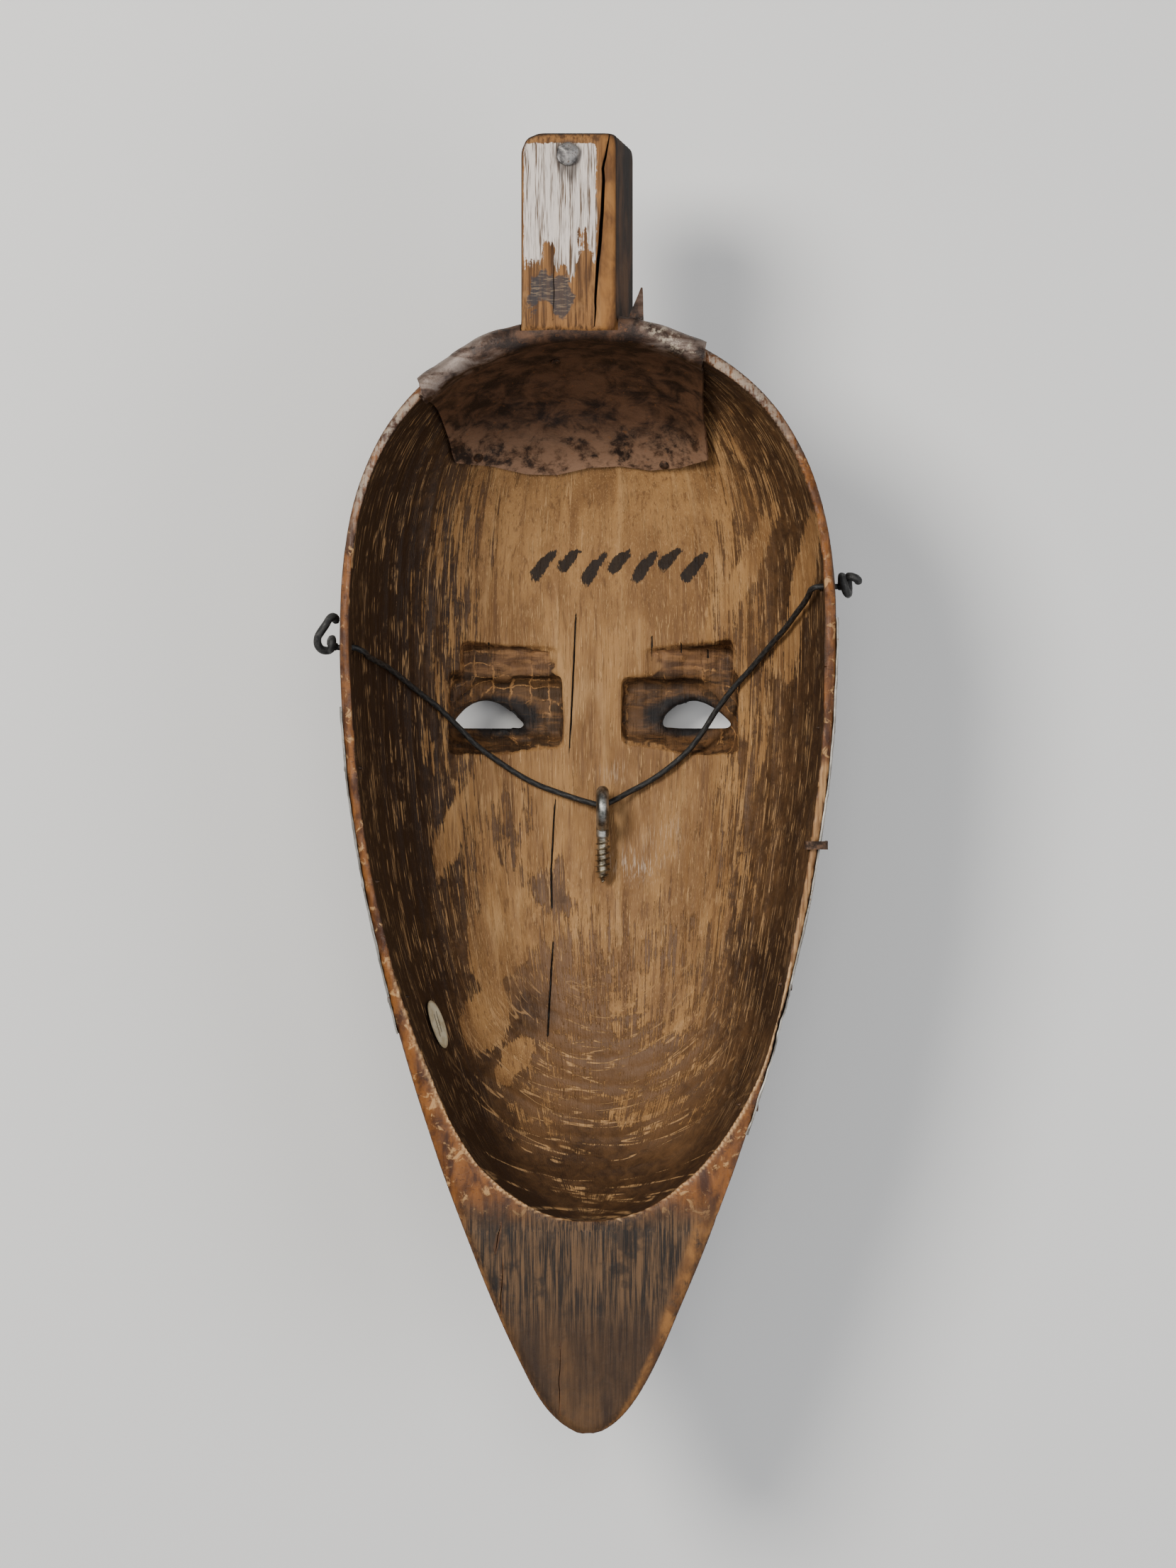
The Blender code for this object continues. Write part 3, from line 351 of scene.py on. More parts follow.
# Knots: the same cord, puffed up where it is slack, tied once round itself outside each wall and pulled
# tight, with a short curled tail left on the left knot.
KNOT_STRAND = 0.0028
KNOT_ROUTES = {
    "left": (
        (-84.4, 46.2, 95.0),
        (-85.9, 46.6, 94.8),
        (-87.1, 47.4, 93.6),
        (-86.9, 48.8, 93.8),
        (-86.5, 49.0, 95.6),
        (-86.4, 47.8, 97.1),
        (-86.6, 46.2, 96.8),
        (-87.1, 45.6, 95.2),
        (-88.0, 45.2, 94.4),
        (-89.2, 45.2, 94.6),
        (-90.5, 45.8, 95.4),
        (-91.4, 47.4, 96.2),
        (-91.3, 49.6, 96.8),
        (-90.0, 51.8, 97.1),
        (-88.6, 53.8, 97.2),
        (-87.4, 55.8, 97.0),
        (-86.1, 56.6, 96.0),
        (-85.4, 55.8, 94.6),
        (-85.8, 54.4, 93.8),
    ),
    "right": (
        (84.4, 66.8, 95.0),
        (85.6, 67.0, 94.2),
        (86.0, 68.6, 93.3),
        (85.9, 70.2, 94.8),
        (86.0, 69.4, 96.8),
        (86.5, 67.2, 97.4),
        (87.3, 65.0, 96.6),
        (88.0, 64.3, 94.6),
        (88.3, 65.6, 92.9),
        (88.2, 68.0, 92.6),
        (88.2, 70.0, 93.8),
        (88.6, 70.2, 96.0),
        (89.9, 69.8, 97.2),
        (91.2, 69.0, 96.6),
        (91.5, 67.8, 95.4),
    ),
}
for side, route in KNOT_ROUTES.items():
    knot_line = smooth_through([Vector(point) / 1000 for point in route], CORD_STEP)
    knot_mesh = braided_tube(f"{side}_cord_knot", knot_line, KNOT_STRAND, True)
    add_piece(f"{side}_cord_knot", knot_mesh, WAXED_CORD, f"{side}_knot")

# Studio: a plain pale floor, one large soft light from the upper left, a weaker one from the right and
# a pale world.
FLOOR_SIZE = 12.0
LIGHTS = (
    ("key", (-0.75, 0.48, 1.30), 0.55, 21.0, (1.0, 0.97, 0.92)),
    ("fill", (0.95, -0.25, 1.05), 0.90, 6.5, (0.95, 0.97, 1.0)),
    ("top", (0.10, 0.25, 1.75), 0.60, 5.0, (1.0, 0.99, 0.97)),
)
AIM = Vector((0, 0, 0.05))
SKY_COLOUR = (0.9, 0.93, 1.0, 1)
SKY_STRENGTH = 0.36

bpy.ops.mesh.primitive_grid_add(x_subdivisions=4, y_subdivisions=4, size=FLOOR_SIZE)
floor = bpy.context.object
floor.name = "studio_floor"
paper = Finish("studio floor", Roughness=0.85, Specular_IOR_Level=0.2)
sweep = paper.noise(3.0, 4, 0.5)
paper.set(Base_Color=paper.mix(sweep, (237, 236, 233), (241, 240, 237)))
floor.data.materials.append(paper.material)

for name, place, size, watts, colour in LIGHTS:
    lamp = placed(name, bpy.data.lights.new(name, "AREA"))
    lamp.location = place
    lamp.rotation_euler = (AIM - Vector(place)).to_track_quat("-Z", "Y").to_euler()
    lamp.data.shape = "DISK"
    lamp.data.size = size
    lamp.data.energy = watts
    lamp.data.color = colour

world = bpy.data.worlds.new("studio")
world.use_nodes = True
world.node_tree.nodes["Background"].inputs["Color"].default_value = SKY_COLOUR
world.node_tree.nodes["Background"].inputs["Strength"].default_value = SKY_STRENGTH
bpy.context.scene.world = world

# Wood: shell, post and chin are carved from one block of dark hardwood. The back was hollowed with an adze
# and chisels, its rim was worn round and glossy by handling, and the raw cuts stayed lighter.
VOXEL = 0.00105
FACET_MEND = 0.0012
THIN_RATIO = 0.40
POST_PROUD = 0.0015
CORD_HOLE = 0.0044
HALF_WIDTH = 0.0838
WIDEST_Y = 0.045
CROWN_Y = 0.1562
CHIN_Y = -0.2188
CROWN_POWER = 2.75
CHIN_TAPER = 0.855
CHIN_TAPER_POWER = 1.78
CHIN_TIP_POWER = 40
EDGE_BAND = 0.007
FRONT_DEPTH = 0.1075
FRONT_DEEPEST_Y = 0.072
FRONT_CROWN_POWER = 2.5
CHIN_THICKNESS = 0.024
FRONT_TAPER_POWER = 1.7
FRONT_SECTION_POWER = 2.15
RIM_WALL = 0.0038
HOLLOW_HALF_WIDTH = HALF_WIDTH - RIM_WALL
HOLLOW_TOP_Y = 0.1508
HOLLOW_LIP_Y = -0.1470
HOLLOW_CROWN_POWER = 3
HOLLOW_TAPER = 0.505
HOLLOW_TAPER_POWER = 1.85
HOLLOW_LIP_POWER = 10
HOLLOW_DEPTH = 0.082
HOLLOW_DEEPEST_Y = 0.020
HOLLOW_END_POWER = 2.6
HOLLOW_SECTION_POWER = 2.5
HOLLOW_SHIFT = 0.0022
HOLLOW_SHIFT_Y = -0.095
HOLLOW_SHIFT_REACH = 0.035
POST_FOOT_Y = 0.1532
POST_TOP_Y = 0.2190
POST_LEFT_X = -0.0226
POST_RIGHT_X = 0.0093
EYE_MIDDLE_X = 0.0018
CHISEL_CUT = (0.0068, 0.0052)
CHISEL_SLANT = 1.3
WALL_STROKE = (0.0062, 0.040)
ARC_STROKE = (0.0042, 0.021)


def share(values, start, end):
    return np.clip((values - start) / (end - start), 0.0, 1.0)


def blend(values, start, end):
    """0 at start and 1 at end, with a smooth turn at both."""
    along = share(values, start, end)
    return along * along * (3 - 2 * along)


def half_width(y):
    crown = np.sqrt(1 - share(y, WIDEST_Y, CROWN_Y) ** CROWN_POWER)
    fall = share(y, WIDEST_Y, CHIN_Y)
    chin = (1 - CHIN_TAPER * fall**CHIN_TAPER_POWER) * np.sqrt(1 - fall**CHIN_TIP_POWER)
    return HALF_WIDTH * np.where(y >= WIDEST_Y, crown, chin)


def hollow_half_width(y):
    crown = np.sqrt(1 - share(y, WIDEST_Y, HOLLOW_TOP_Y) ** HOLLOW_CROWN_POWER)
    fall = share(y, WIDEST_Y, HOLLOW_LIP_Y)
    lip = (1 - HOLLOW_TAPER * fall**HOLLOW_TAPER_POWER) * np.sqrt(1 - fall**HOLLOW_LIP_POWER)
    return HOLLOW_HALF_WIDTH * np.where(y >= WIDEST_Y, crown, lip)


def hollow_depth(y):
    end = np.where(y >= HOLLOW_DEEPEST_Y, HOLLOW_TOP_Y, HOLLOW_LIP_Y)
    return HOLLOW_DEPTH * np.sqrt(1 - share(y, HOLLOW_DEEPEST_Y, end) ** HOLLOW_END_POWER)


def hollow_middle(y):
    return HOLLOW_SHIFT * np.exp(-(((y - HOLLOW_SHIFT_Y) / HOLLOW_SHIFT_REACH) ** 2))


def front_depth(y):
    crown = np.sqrt(1 - share(y, FRONT_DEEPEST_Y, CROWN_Y) ** FRONT_CROWN_POWER)
    chin = 1 - share(y, FRONT_DEEPEST_Y, CHIN_Y) ** FRONT_TAPER_POWER
    to_crown = EDGE_BAND + (FRONT_DEPTH - EDGE_BAND) * crown
    to_chin = CHIN_THICKNESS + (FRONT_DEPTH - CHIN_THICKNESS) * chin
    return np.where(y >= FRONT_DEEPEST_Y, to_crown, to_chin)


def hollow_level(points):
    """1 on the plain hollow, less inside its air, more in the wood and in the eye recesses."""
    x, y, z = points.T
    across = np.abs(x - hollow_middle(y)) / np.maximum(hollow_half_width(y), 1e-4)
    return across**HOLLOW_SECTION_POWER + (np.maximum(RIM_Z - z, 0) / np.maximum(hollow_depth(y), 1e-4)) ** 2


def down_share(across, power):
    return np.sqrt(np.maximum(1 - np.minimum(np.abs(across), 1) ** power, 0))


def hollow_z(x, y):
    across = (x - hollow_middle(y)) / np.maximum(hollow_half_width(y), 1e-6)
    return RIM_Z - hollow_depth(y) * down_share(across, HOLLOW_SECTION_POWER)


def front_level(points):
    """1 on the plain front, less inside the wood."""
    x, y, z = points.T
    across = np.abs(x) / np.maximum(half_width(y), 1e-4)
    deep = np.maximum(RIM_Z - EDGE_BAND - z, 0) / np.maximum(front_depth(y) - EDGE_BAND, 1e-4)
    return across**FRONT_SECTION_POWER + deep**2


def slope(level, points, step=0.0003):
    """The direction and the rate in which a level grows."""
    parts = []
    for axis in np.eye(3) * step:
        parts.append((level(points + axis) - level(points - axis)) / (2 * step))
    grown = np.column_stack(parts)
    rate = np.maximum(np.linalg.norm(grown, axis=1), 1e-6)
    return grown / rate[:, None], rate


def hashed(cells, seed):
    """A repeatable value from 0 to 1 for each cell of whole-number coordinates."""
    mixed = np.full(len(cells), seed * 7919 + 13, dtype=np.int64)
    for column, prime in zip(np.asarray(cells, dtype=np.int64).T, (73856093, 19349663, 83492791)):
        mixed = (mixed ^ (column * prime)) & 0x7FFFFFFF
        mixed = (mixed * 48271 + 11) & 0x7FFFFFFF
        mixed ^= mixed >> 13
    return (mixed % 100003) / 100003


def soft_noise(points, size, seed):
    """Smooth bumps from -1 to 1, about this size, at points of two or three coordinates."""
    scaled = points / size
    low = np.floor(scaled)
    part = scaled - low
    part = part * part * (3 - 2 * part)
    total = np.zeros(len(points))
    for corner in np.ndindex(*(2,) * points.shape[1]):
        weight = np.prod(np.where(np.array(corner) == 1, part, 1 - part), axis=1)
        total += weight * hashed(low + corner, seed)
    return total * 2 - 1


def gouges(across, along, width, length, seed):
    """The dishes that overlapping tool strokes leave: 0 at the bottom of each, 1 on the ridges."""
    row = np.floor(across / width)
    shift = hashed(np.column_stack([row, row * 0]), seed + 5)
    spots = np.column_stack([across / width, along / length + shift * 0.37])
    low = np.floor(spots)
    nearest = np.full(len(spots), 9.0)
    for step in np.ndindex(3, 3):
        cell = low + np.array(step) - 1
        jitter = np.column_stack([hashed(cell, seed), hashed(cell, seed + 1)])
        away = spots - cell - 0.15 - 0.7 * jitter
        nearest = np.minimum(nearest, (away**2).sum(axis=1))
    return np.clip(nearest * 1.6, 0, 1)


def remeshed(node, voxel):
    """A CAD solid's surface as even quads."""
    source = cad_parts[node]
    copy = placed("remeshing", source.data.copy())
    even = copy.modifiers.new("even", "REMESH")
    even.mode = "VOXEL"
    even.voxel_size = voxel
    graph = bpy.context.evaluated_depsgraph_get()
    mesh = bpy.data.meshes.new_from_object(copy.evaluated_get(graph))
    bpy.data.objects.remove(copy, do_unlink=True)
    return mesh


def mesh_points(mesh):
    points = np.empty(len(mesh.vertices) * 3, dtype=np.float32)
    mesh.vertices.foreach_get("co", points)
    return points.reshape(-1, 3).astype(float)


def mesh_normals(mesh):
    normals = np.empty(len(mesh.vertices) * 3, dtype=np.float32)
    mesh.vertex_normals.foreach_get("vector", normals)
    return normals.reshape(-1, 3).astype(float)


def move_points(mesh, points):
    mesh.vertices.foreach_set("co", points.astype(np.float32).ravel())
    mesh.update()


def smooth_points(mesh, points, rounds):
    """Each point moved towards the middle of its neighbours."""
    edges = np.empty(len(mesh.edges) * 2, dtype=np.int32)
    mesh.edges.foreach_get("vertices", edges)
    first, second = edges.reshape(-1, 2).T
    count = np.bincount(np.concatenate([first, second]), minlength=len(points))[:, None]
    for _ in range(rounds):
        total = np.zeros_like(points)
        for axis in range(3):
            total[:, axis] += np.bincount(first, points[second, axis], len(points))
            total[:, axis] += np.bincount(second, points[first, axis], len(points))
        points = points + 0.5 * (total / count - points)
    return points


def wood_masks(points, normals):
    """What part of the carving each point is on, as shares from 0 to 1."""
    x, y, z = points.T
    out, _ = slope(front_level, points)
    facing = (normals * out).sum(axis=1)
    post = (y > POST_FOOT_Y - 0.002) & (np.abs(x + 0.004) < 0.024) & (z > 0.062)
    deep_in = (hollow_level(points) > 1.035) & (front_level(points) < 0.93) & (z < 0.078)
    beside_eyes = (np.abs(np.abs(x - EYE_MIDDLE_X) - 0.031) < 0.023) & (np.abs(y - 0.031) < 0.024)
    recess = (deep_in & beside_eyes).astype(float)
    inside = np.maximum(blend(facing, -0.25, -0.6), recess)
    top = blend(normals[:, 2], 0.5, 0.85) * blend(z, RIM_Z - 0.004, RIM_Z - 0.001)
    away, rate = hollow_level(points) - 1, slope(hollow_level, points)[1]
    on_hollow = (np.abs(away) < 0.0016 * rate) & (z < RIM_Z - 0.0008)
    inside = np.where(on_hollow, 1.0, inside)
    inside = np.where(post, 0.0, inside * (1 - top))
    return {"inside": inside, "recess": recess, "post": post.astype(float), "top": top, "facing": facing}


def flow_of(points):
    """Where a point lies in the two sets of tool strokes: along the walls, and in arcs above the lip."""
    x, y, _ = points.T
    middle = hollow_middle(y)
    across = np.arcsin(np.clip((x - middle) / np.maximum(hollow_half_width(y), 1e-4), -1, 1)) * HALF_WIDTH
    from_x, from_y = x - 0.004, (y + 0.038) / 1.25
    ring = np.hypot(from_x, from_y)
    turn = np.arctan2(from_x, -from_y) * 0.07
    arcs = blend(y, -0.045, -0.100) * blend(np.abs(x - 0.004), 0.058, 0.030)
    return across, y, ring, turn, arcs


def tool_cuts(across, along, ring, turn, arcs):
    """The dishes of both sets of strokes, which blend into each other above the lip."""
    return gouges(across, along, *WALL_STROKE, 3) * (1 - arcs) + gouges(ring, turn, *ARC_STROKE, 8) * arcs


def chisel_cells(points):
    """Which cut of the chisel each point of an eye recess is in."""
    x, y, z = points.T
    return np.column_stack([np.floor(x / CHISEL_CUT[0]), np.floor((y + CHISEL_SLANT * z) / CHISEL_CUT[1])])


def carve_wood(mesh):
    points = smooth_points(mesh, mesh_points(mesh), 2)
    move_points(mesh, points)
    normals = mesh_normals(mesh)
    masks = wood_masks(points, normals)
    for level, keep in ((hollow_level, masks["inside"] * (1 - masks["recess"])), (front_level, None)):
        out, rate = slope(level, points)
        away = (level(points) - 1) / rate
        if keep is None:
            keep = blend(masks["facing"], 0.5, 0.8) * (1 - masks["post"]) * (1 - masks["top"])
        keep = keep * blend(np.abs(away), FACET_MEND, FACET_MEND * 0.5) * (points[:, 2] > 0.002)
        points = points - out * (away * keep)[:, None]
    move_points(mesh, smooth_points(mesh, points, 1))
    points = mesh_points(mesh)
    normals = mesh_normals(mesh)
    masks = wood_masks(points, normals)
    x, y, _ = points.T
    cuts = tool_cuts(*flow_of(points))
    sway = soft_noise(points, 0.028, 2) * 0.5 + soft_noise(points, 0.011, 4) * 0.25
    inside = masks["inside"] * (1 - masks["recess"])
    lift = inside * (0.00080 * (cuts - 0.35) + 0.00050 * sway)
    chiselled = hashed(chisel_cells(points), 21) - 0.5 + 0.5 * soft_noise(points, 0.003, 6)
    lift += masks["recess"] * 0.0011 * chiselled * blend(front_level(points), 0.90, 0.84)
    rim = masks["top"] * (1 - masks["post"]) * (y > -0.150)
    lump = soft_noise(points, 0.009, 11) * 0.6 + soft_noise(points, 0.0042, 12) * 0.4
    lift += rim * (0.00042 * lump - 0.0002)
    bark = rim * blend(y, 0.030, 0.060) * (x > 0)
    lift += bark * 0.0005 * soft_noise(points, 0.0024, 13)
    front = blend(masks["facing"], 0.2, 0.5) * (1 - masks["post"])
    lift += front * (0.00022 * soft_noise(points, 0.016, 15) - 0.00022)
    flat = np.maximum(masks["post"], masks["top"] * (y < -0.100)) * blend(normals[:, 2], 0.6, 0.9)
    grain_line = soft_noise(np.column_stack([x / 0.0016, y / 0.05]), 1.0, 17)
    lift += flat * (0.00028 * grain_line - 0.0003 + 0.0002 * soft_noise(points, 0.02, 18))
    points = points + normals * lift[:, None]
    points[:, 2] = np.maximum(points[:, 2], 0.0)
    move_points(mesh, points)
    return mesh


def apply_modifiers(mesh, settings):
    """The mesh after modifiers, each given by its type and its settings."""
    holder = placed("holder", mesh)
    for kind, values in settings:
        step = holder.modifiers.new(kind.lower(), kind)
        for name, value in values.items():
            setattr(step, name, value)
    if any("vertex_group" in values for _, values in settings):
        points = mesh_points(mesh)
        facing = wood_masks(points, mesh_normals(mesh))["facing"]
        group = holder.vertex_groups.new(name="outside")
        outside = np.nonzero((facing > 0.3) & (points[:, 2] < RIM_Z - 0.006))[0]
        group.add(outside.tolist(), 1.0, "REPLACE")
    graph = bpy.context.evaluated_depsgraph_get()
    made = bpy.data.meshes.new_from_object(holder.evaluated_get(graph))
    bpy.data.objects.remove(holder, do_unlink=True)
    return made


def give(mesh, name, values):
    """A number, or three, for each vertex, which the finish reads by name."""
    kind = "FLOAT_VECTOR" if values.ndim == 2 else "FLOAT"
    field = "vector" if values.ndim == 2 else "value"
    mesh.attributes.new(name, kind, "POINT").data.foreach_set(field, values.astype(np.float32).ravel())


def patches(points, places):
    """The sum of soft ovals, each given by its middle, half sizes in mm, turn in degrees and weight."""
    total = np.zeros(len(points))
    for x, y, half_x, half_y, degrees, weight in places:
        turn = math.radians(degrees)
        from_x, from_y = points[:, 0] * 1000 - x, points[:, 1] * 1000 - y
        along = (from_x * math.cos(turn) + from_y * math.sin(turn)) / half_x
        aside = (from_y * math.cos(turn) - from_x * math.sin(turn)) / half_y
        total += weight * blend(np.hypot(along, aside), 1.25, 0.45)
    return total


def line_reach(points, lines):
    """The signed distance to the nearest line in mm, and how much of a line is beside each point."""
    distance = np.full(len(points), 9.0)
    beside = np.zeros(len(points))
    spot = points[:, :2] * 1000
    for line in lines:
        line = np.array(line, dtype=float)
        for number, (start, end) in enumerate(zip(line, line[1:])):
            way = end - start
            length = np.hypot(*way)
            along = ((spot - start) @ way) / length**2
            held = np.clip(along, 0, 1)
            near = spot - start - held[:, None] * way
            side = np.sign(way[0] * (spot[:, 1] - start[1]) - way[1] * (spot[:, 0] - start[0]))
            away = np.hypot(*near.T)
            closer = away < np.abs(distance)
            distance = np.where(closer, side * away, distance)
            fade = blend(along * length, -0.4, 1.5) if number == 0 else np.ones(len(points))
            if number == len(line) - 2:
                fade = fade * blend((1 - along) * length, -0.4, 1.5)
            beside = np.where(closer, fade, beside)
    return distance, beside


# Where the dark film has come off the hollow (weights below 0) or is thickest
FILM_AREAS = (
    (-30, -54, 10, 17, -24, -1.0),
    (-35, -82, 9, 12, -30, -0.9),
    (-50, -22, 5, 16, -14, -0.55),
    (-17, -24, 7, 9, -16, -0.5),
    (-26, -96, 5, 12, -36, -0.6),
    (28, 84, 9, 18, -34, -0.5),
    (38, 102, 12, 6, -40, -0.7),
    (74, 72, 4, 26, -8, -0.8),
    (69, 44, 6, 12, 0, -0.45),
    (58, 80, 4, 20, -24, -0.45),
    (24, -78, 20, 16, 0, -0.25),
    (10, -28, 12, 10, 0, -0.5),
    (-4, -34, 6, 7, 0, -0.35),
    (-13, -34, 10, 16, 0, 0.55),
    (-24, -12, 8, 20, -10, 0.35),
    (-20, -80, 12, 9, 20, 0.45),
    (60, -66, 9, 20, 20, 0.5),
    (-44, -112, 8, 20, -34, 0.5),
    (22, 20, 9, 8, 0, 0.15),
)
CRACKS = (
    ((-4.2, 62.0), (-5.6, 30.0), (-6.6, 9.0)),
    ((-11.6, -4.0), (-13.0, -30.0), (-12.7, -46.0)),
    ((-12.2, -54.0), (-13.4, -74.0), (-14.2, -90.0)),
)
CHIN_CRACKS = (
    ((-29.2, -147.5), (-30.5, -152.0), (-31.1, -157.7)),
    ((-28.7, -160.8), (-29.6, -179.1)),
    ((-9.4, -188.7), (-9.9, -212.6)),
)
RIM_CRACKS = (((76.4, -60.0), (74.4, -70.0), (71.8, -80.0)),)
POST_CRACKS = (
    ((7.2, 218.6), (5.2, 207.5), (4.7, 193.0), (3.3, 172.0), (2.1, 153.6)),
    ((-11.8, 181.0), (-11.4, 168.0), (-12.0, 156.0)),
)
RECESS_CRACKS = (
    ((-35.1, 51.5), (-34.6, 43.0)),
    ((22.5, 54.0), (22.9, 42.0)),
    ((32.7, 51.5), (33.1, 45.1)),
    ((42.3, 49.1), (42.6, 43.1)),
)
# Where the rim is grey, the post has residue, flaked paint and a dark halo round its nail, a pale bloom
# lies in the hollow and painted shade darkens the eye recesses, most at their bottoms
WOOD_SPOTS = {
    "grey_rim": ((-66, 112, 16, 30, -32, 1), (46, 136, 22, 8, -36, 1), (62, 118, 9, 14, 30, 0.5)),
    "residue": ((-16, 167, 5.5, 6, 0, 1), (-8.5, 163, 4.5, 9, 0, 0.9), (-19, 159, 3, 4, 0, 0.6)),
    "flaked": ((-13.2, 178.6, 2.4, 3.4, 0, 1.4), (-1.0, 180, 3, 7, 10, 0.7)),
    "halo": ((-6.8, 211.2, 6.2, 6.0, 0, 1), (-5.5, 203, 2.2, 8, 0, 0.55), (-9.2, 204, 1.0, 7, 0, 0.6)),
    "bloom": ((15, -29, 11, 6, -20, 1), (9, 4, 6, 5, 0, 0.6), (26, -20, 8, 12, -30, 0.5)),
    "recess_shade": ((-31, 24, 17, 9, 0, 1), (35, 24, 18, 9, 0, 1)),
}
CRACK_STEP = 2.0
CRACK_WIDTH = 0.32
CRACK_DEPTH = 2.6
SPLIT_WIDTH = 0.9
SPLIT_DEPTH = 12.0
DABS = (
    (-15.8, 77.6, 13.5, 52),
    (-6.6, 79.4, 11.0, 45),
    (2.0, 76.2, 14.5, 54),
    (11.2, 79.0, 11.5, 47),
    (20.0, 77.0, 14.0, 52),
    (28.8, 79.6, 10.5, 44),
    (37.4, 76.6, 13.0, 50),
)
DAB_WIDTH = 4.2
DRILL_SIDES = 28
DRILL_REACH = (0.070, 0.089)


def wood_cutter(cracks):
    """V-shaped slivers, each sunk along a line from a level, and the rods of the two cord holes."""
    shape = bmesh.new()
    for line, level, width, depth in cracks:
        line = np.array(line, dtype=float)
        lengths = np.concatenate([[0], np.cumsum(np.hypot(*np.diff(line, axis=0).T))])
        count = max(int(lengths[-1] / CRACK_STEP), 3)
        steps = np.linspace(0, lengths[-1], count + 1)
        spots = np.column_stack([np.interp(steps, lengths, line[:, axis]) for axis in (0, 1)])
        inner = np.column_stack([steps[1:-1], steps[1:-1] * 0])
        spots[1:-1, 0] += 0.25 * soft_noise(inner, 4.0, 61)
        rings = []
        for i, spot in enumerate(spots):
            way = spots[min(i + 1, count)] - spots[max(i - 1, 0)]
            across = np.array([-way[1], way[0]]) / np.hypot(*way)
            open_share = 0.12 + 0.88 * math.sin(math.pi * min(max(i / count, 0.01), 0.99)) ** 0.5
            half = width / 2 * open_share
            surface = float(level(np.array([spot[0] / 1000]), np.array([spot[1] / 1000]))[0]) * 1000
            corners = [(*(spot + across * half * side), surface + 1.2) for side in (1.6, -1.6)]
            corners.append((*spot, surface - depth * open_share))
            rings.append([shape.verts.new(Vector(corner) / 1000) for corner in corners])
        join_rings(shape, rings)
    for side, y in ((-1, CORD_ROUTE[0][1]), (1, CORD_ROUTE[-1][1])):
        rings = []
        for x in DRILL_REACH:
            angles = [2 * math.pi * i / DRILL_SIDES for i in range(DRILL_SIDES)]
            ring = [(math.cos(angle), math.sin(angle)) for angle in angles]
            spots = [(side * x, y / 1000 + CORD_HOLE / 2 * c, hole_z + CORD_HOLE / 2 * s) for c, s in ring]
            rings.append([shape.verts.new(spot) for spot in spots])
        join_rings(shape, rings)
    return placed("cracks and holes", mesh_of("cracks and holes", shape))


def brush_dabs(points):
    """How far each point is into slanted dabs of a brush: 0 in the middle of one, 1 at its edge."""
    spot = points[:, :2] * 1000
    nearest = np.full(len(points), 9.0)
    for x, y, length, degrees in DABS:
        lean = math.radians(degrees)
        way = np.array([math.cos(lean), math.sin(lean)])
        along = (spot - (x, y)) @ way / (length / 2)
        aside = (spot - (x, y)) @ np.array([-way[1], way[0]]) / (DAB_WIDTH / 2)
        aside = (aside + 0.25 * along**2) * (1 + 0.28 * np.clip(along, -1, 1))
        nearest = np.minimum(nearest, np.abs(along) ** 3.2 + np.abs(aside) ** 2.4)
    return nearest


def film_on(points):
    """How much of the dark film is left on the hollow, and how thick it is."""
    x, y, _ = points.T
    width = np.maximum(hollow_half_width(y), 1e-4)
    turn = np.arcsin(np.clip((x - hollow_middle(y)) / width, -1, 1)) / (math.pi / 2)
    left, right = share(-turn, 0.06, 0.70), share(turn, 0.14, 0.76)
    low, lip = blend(y, -0.004, -0.080), blend(y, -0.095, -0.135)
    crown = blend(y, 0.100, 0.130) * blend(np.abs(x), 0.016, 0.040)
    film = np.maximum.reduce([1.02 * left, 0.90 * right, 0.64 * low, 0.94 * lip, 0.7 * crown])
    areas = patches(points, FILM_AREAS)
    film = film + areas * 0.8
    film += 0.10 * soft_noise(points, 0.016, 71) + 0.05 * soft_noise(points, 0.006, 72)
    thick = np.maximum.reduce([left, 0.70 * right, 0.20 * low, 0.60 * lip, 0.4 * crown])
    thick += np.maximum(areas, 0) * 0.4 + 0.12 * soft_noise(points, 0.03, 73)
    return np.clip(film, 0, 1), np.clip(thick, 0, 1)


def worn_high(points, normals):
    """The brow, nose, lips and lids, whose proud edges are rubbed bright."""
    out, rate = slope(front_level, points)
    proud = (front_level(points) - 1) / rate
    return blend(proud, 0.0016, 0.0058) * blend((normals * out).sum(axis=1), 0.2, 0.8)


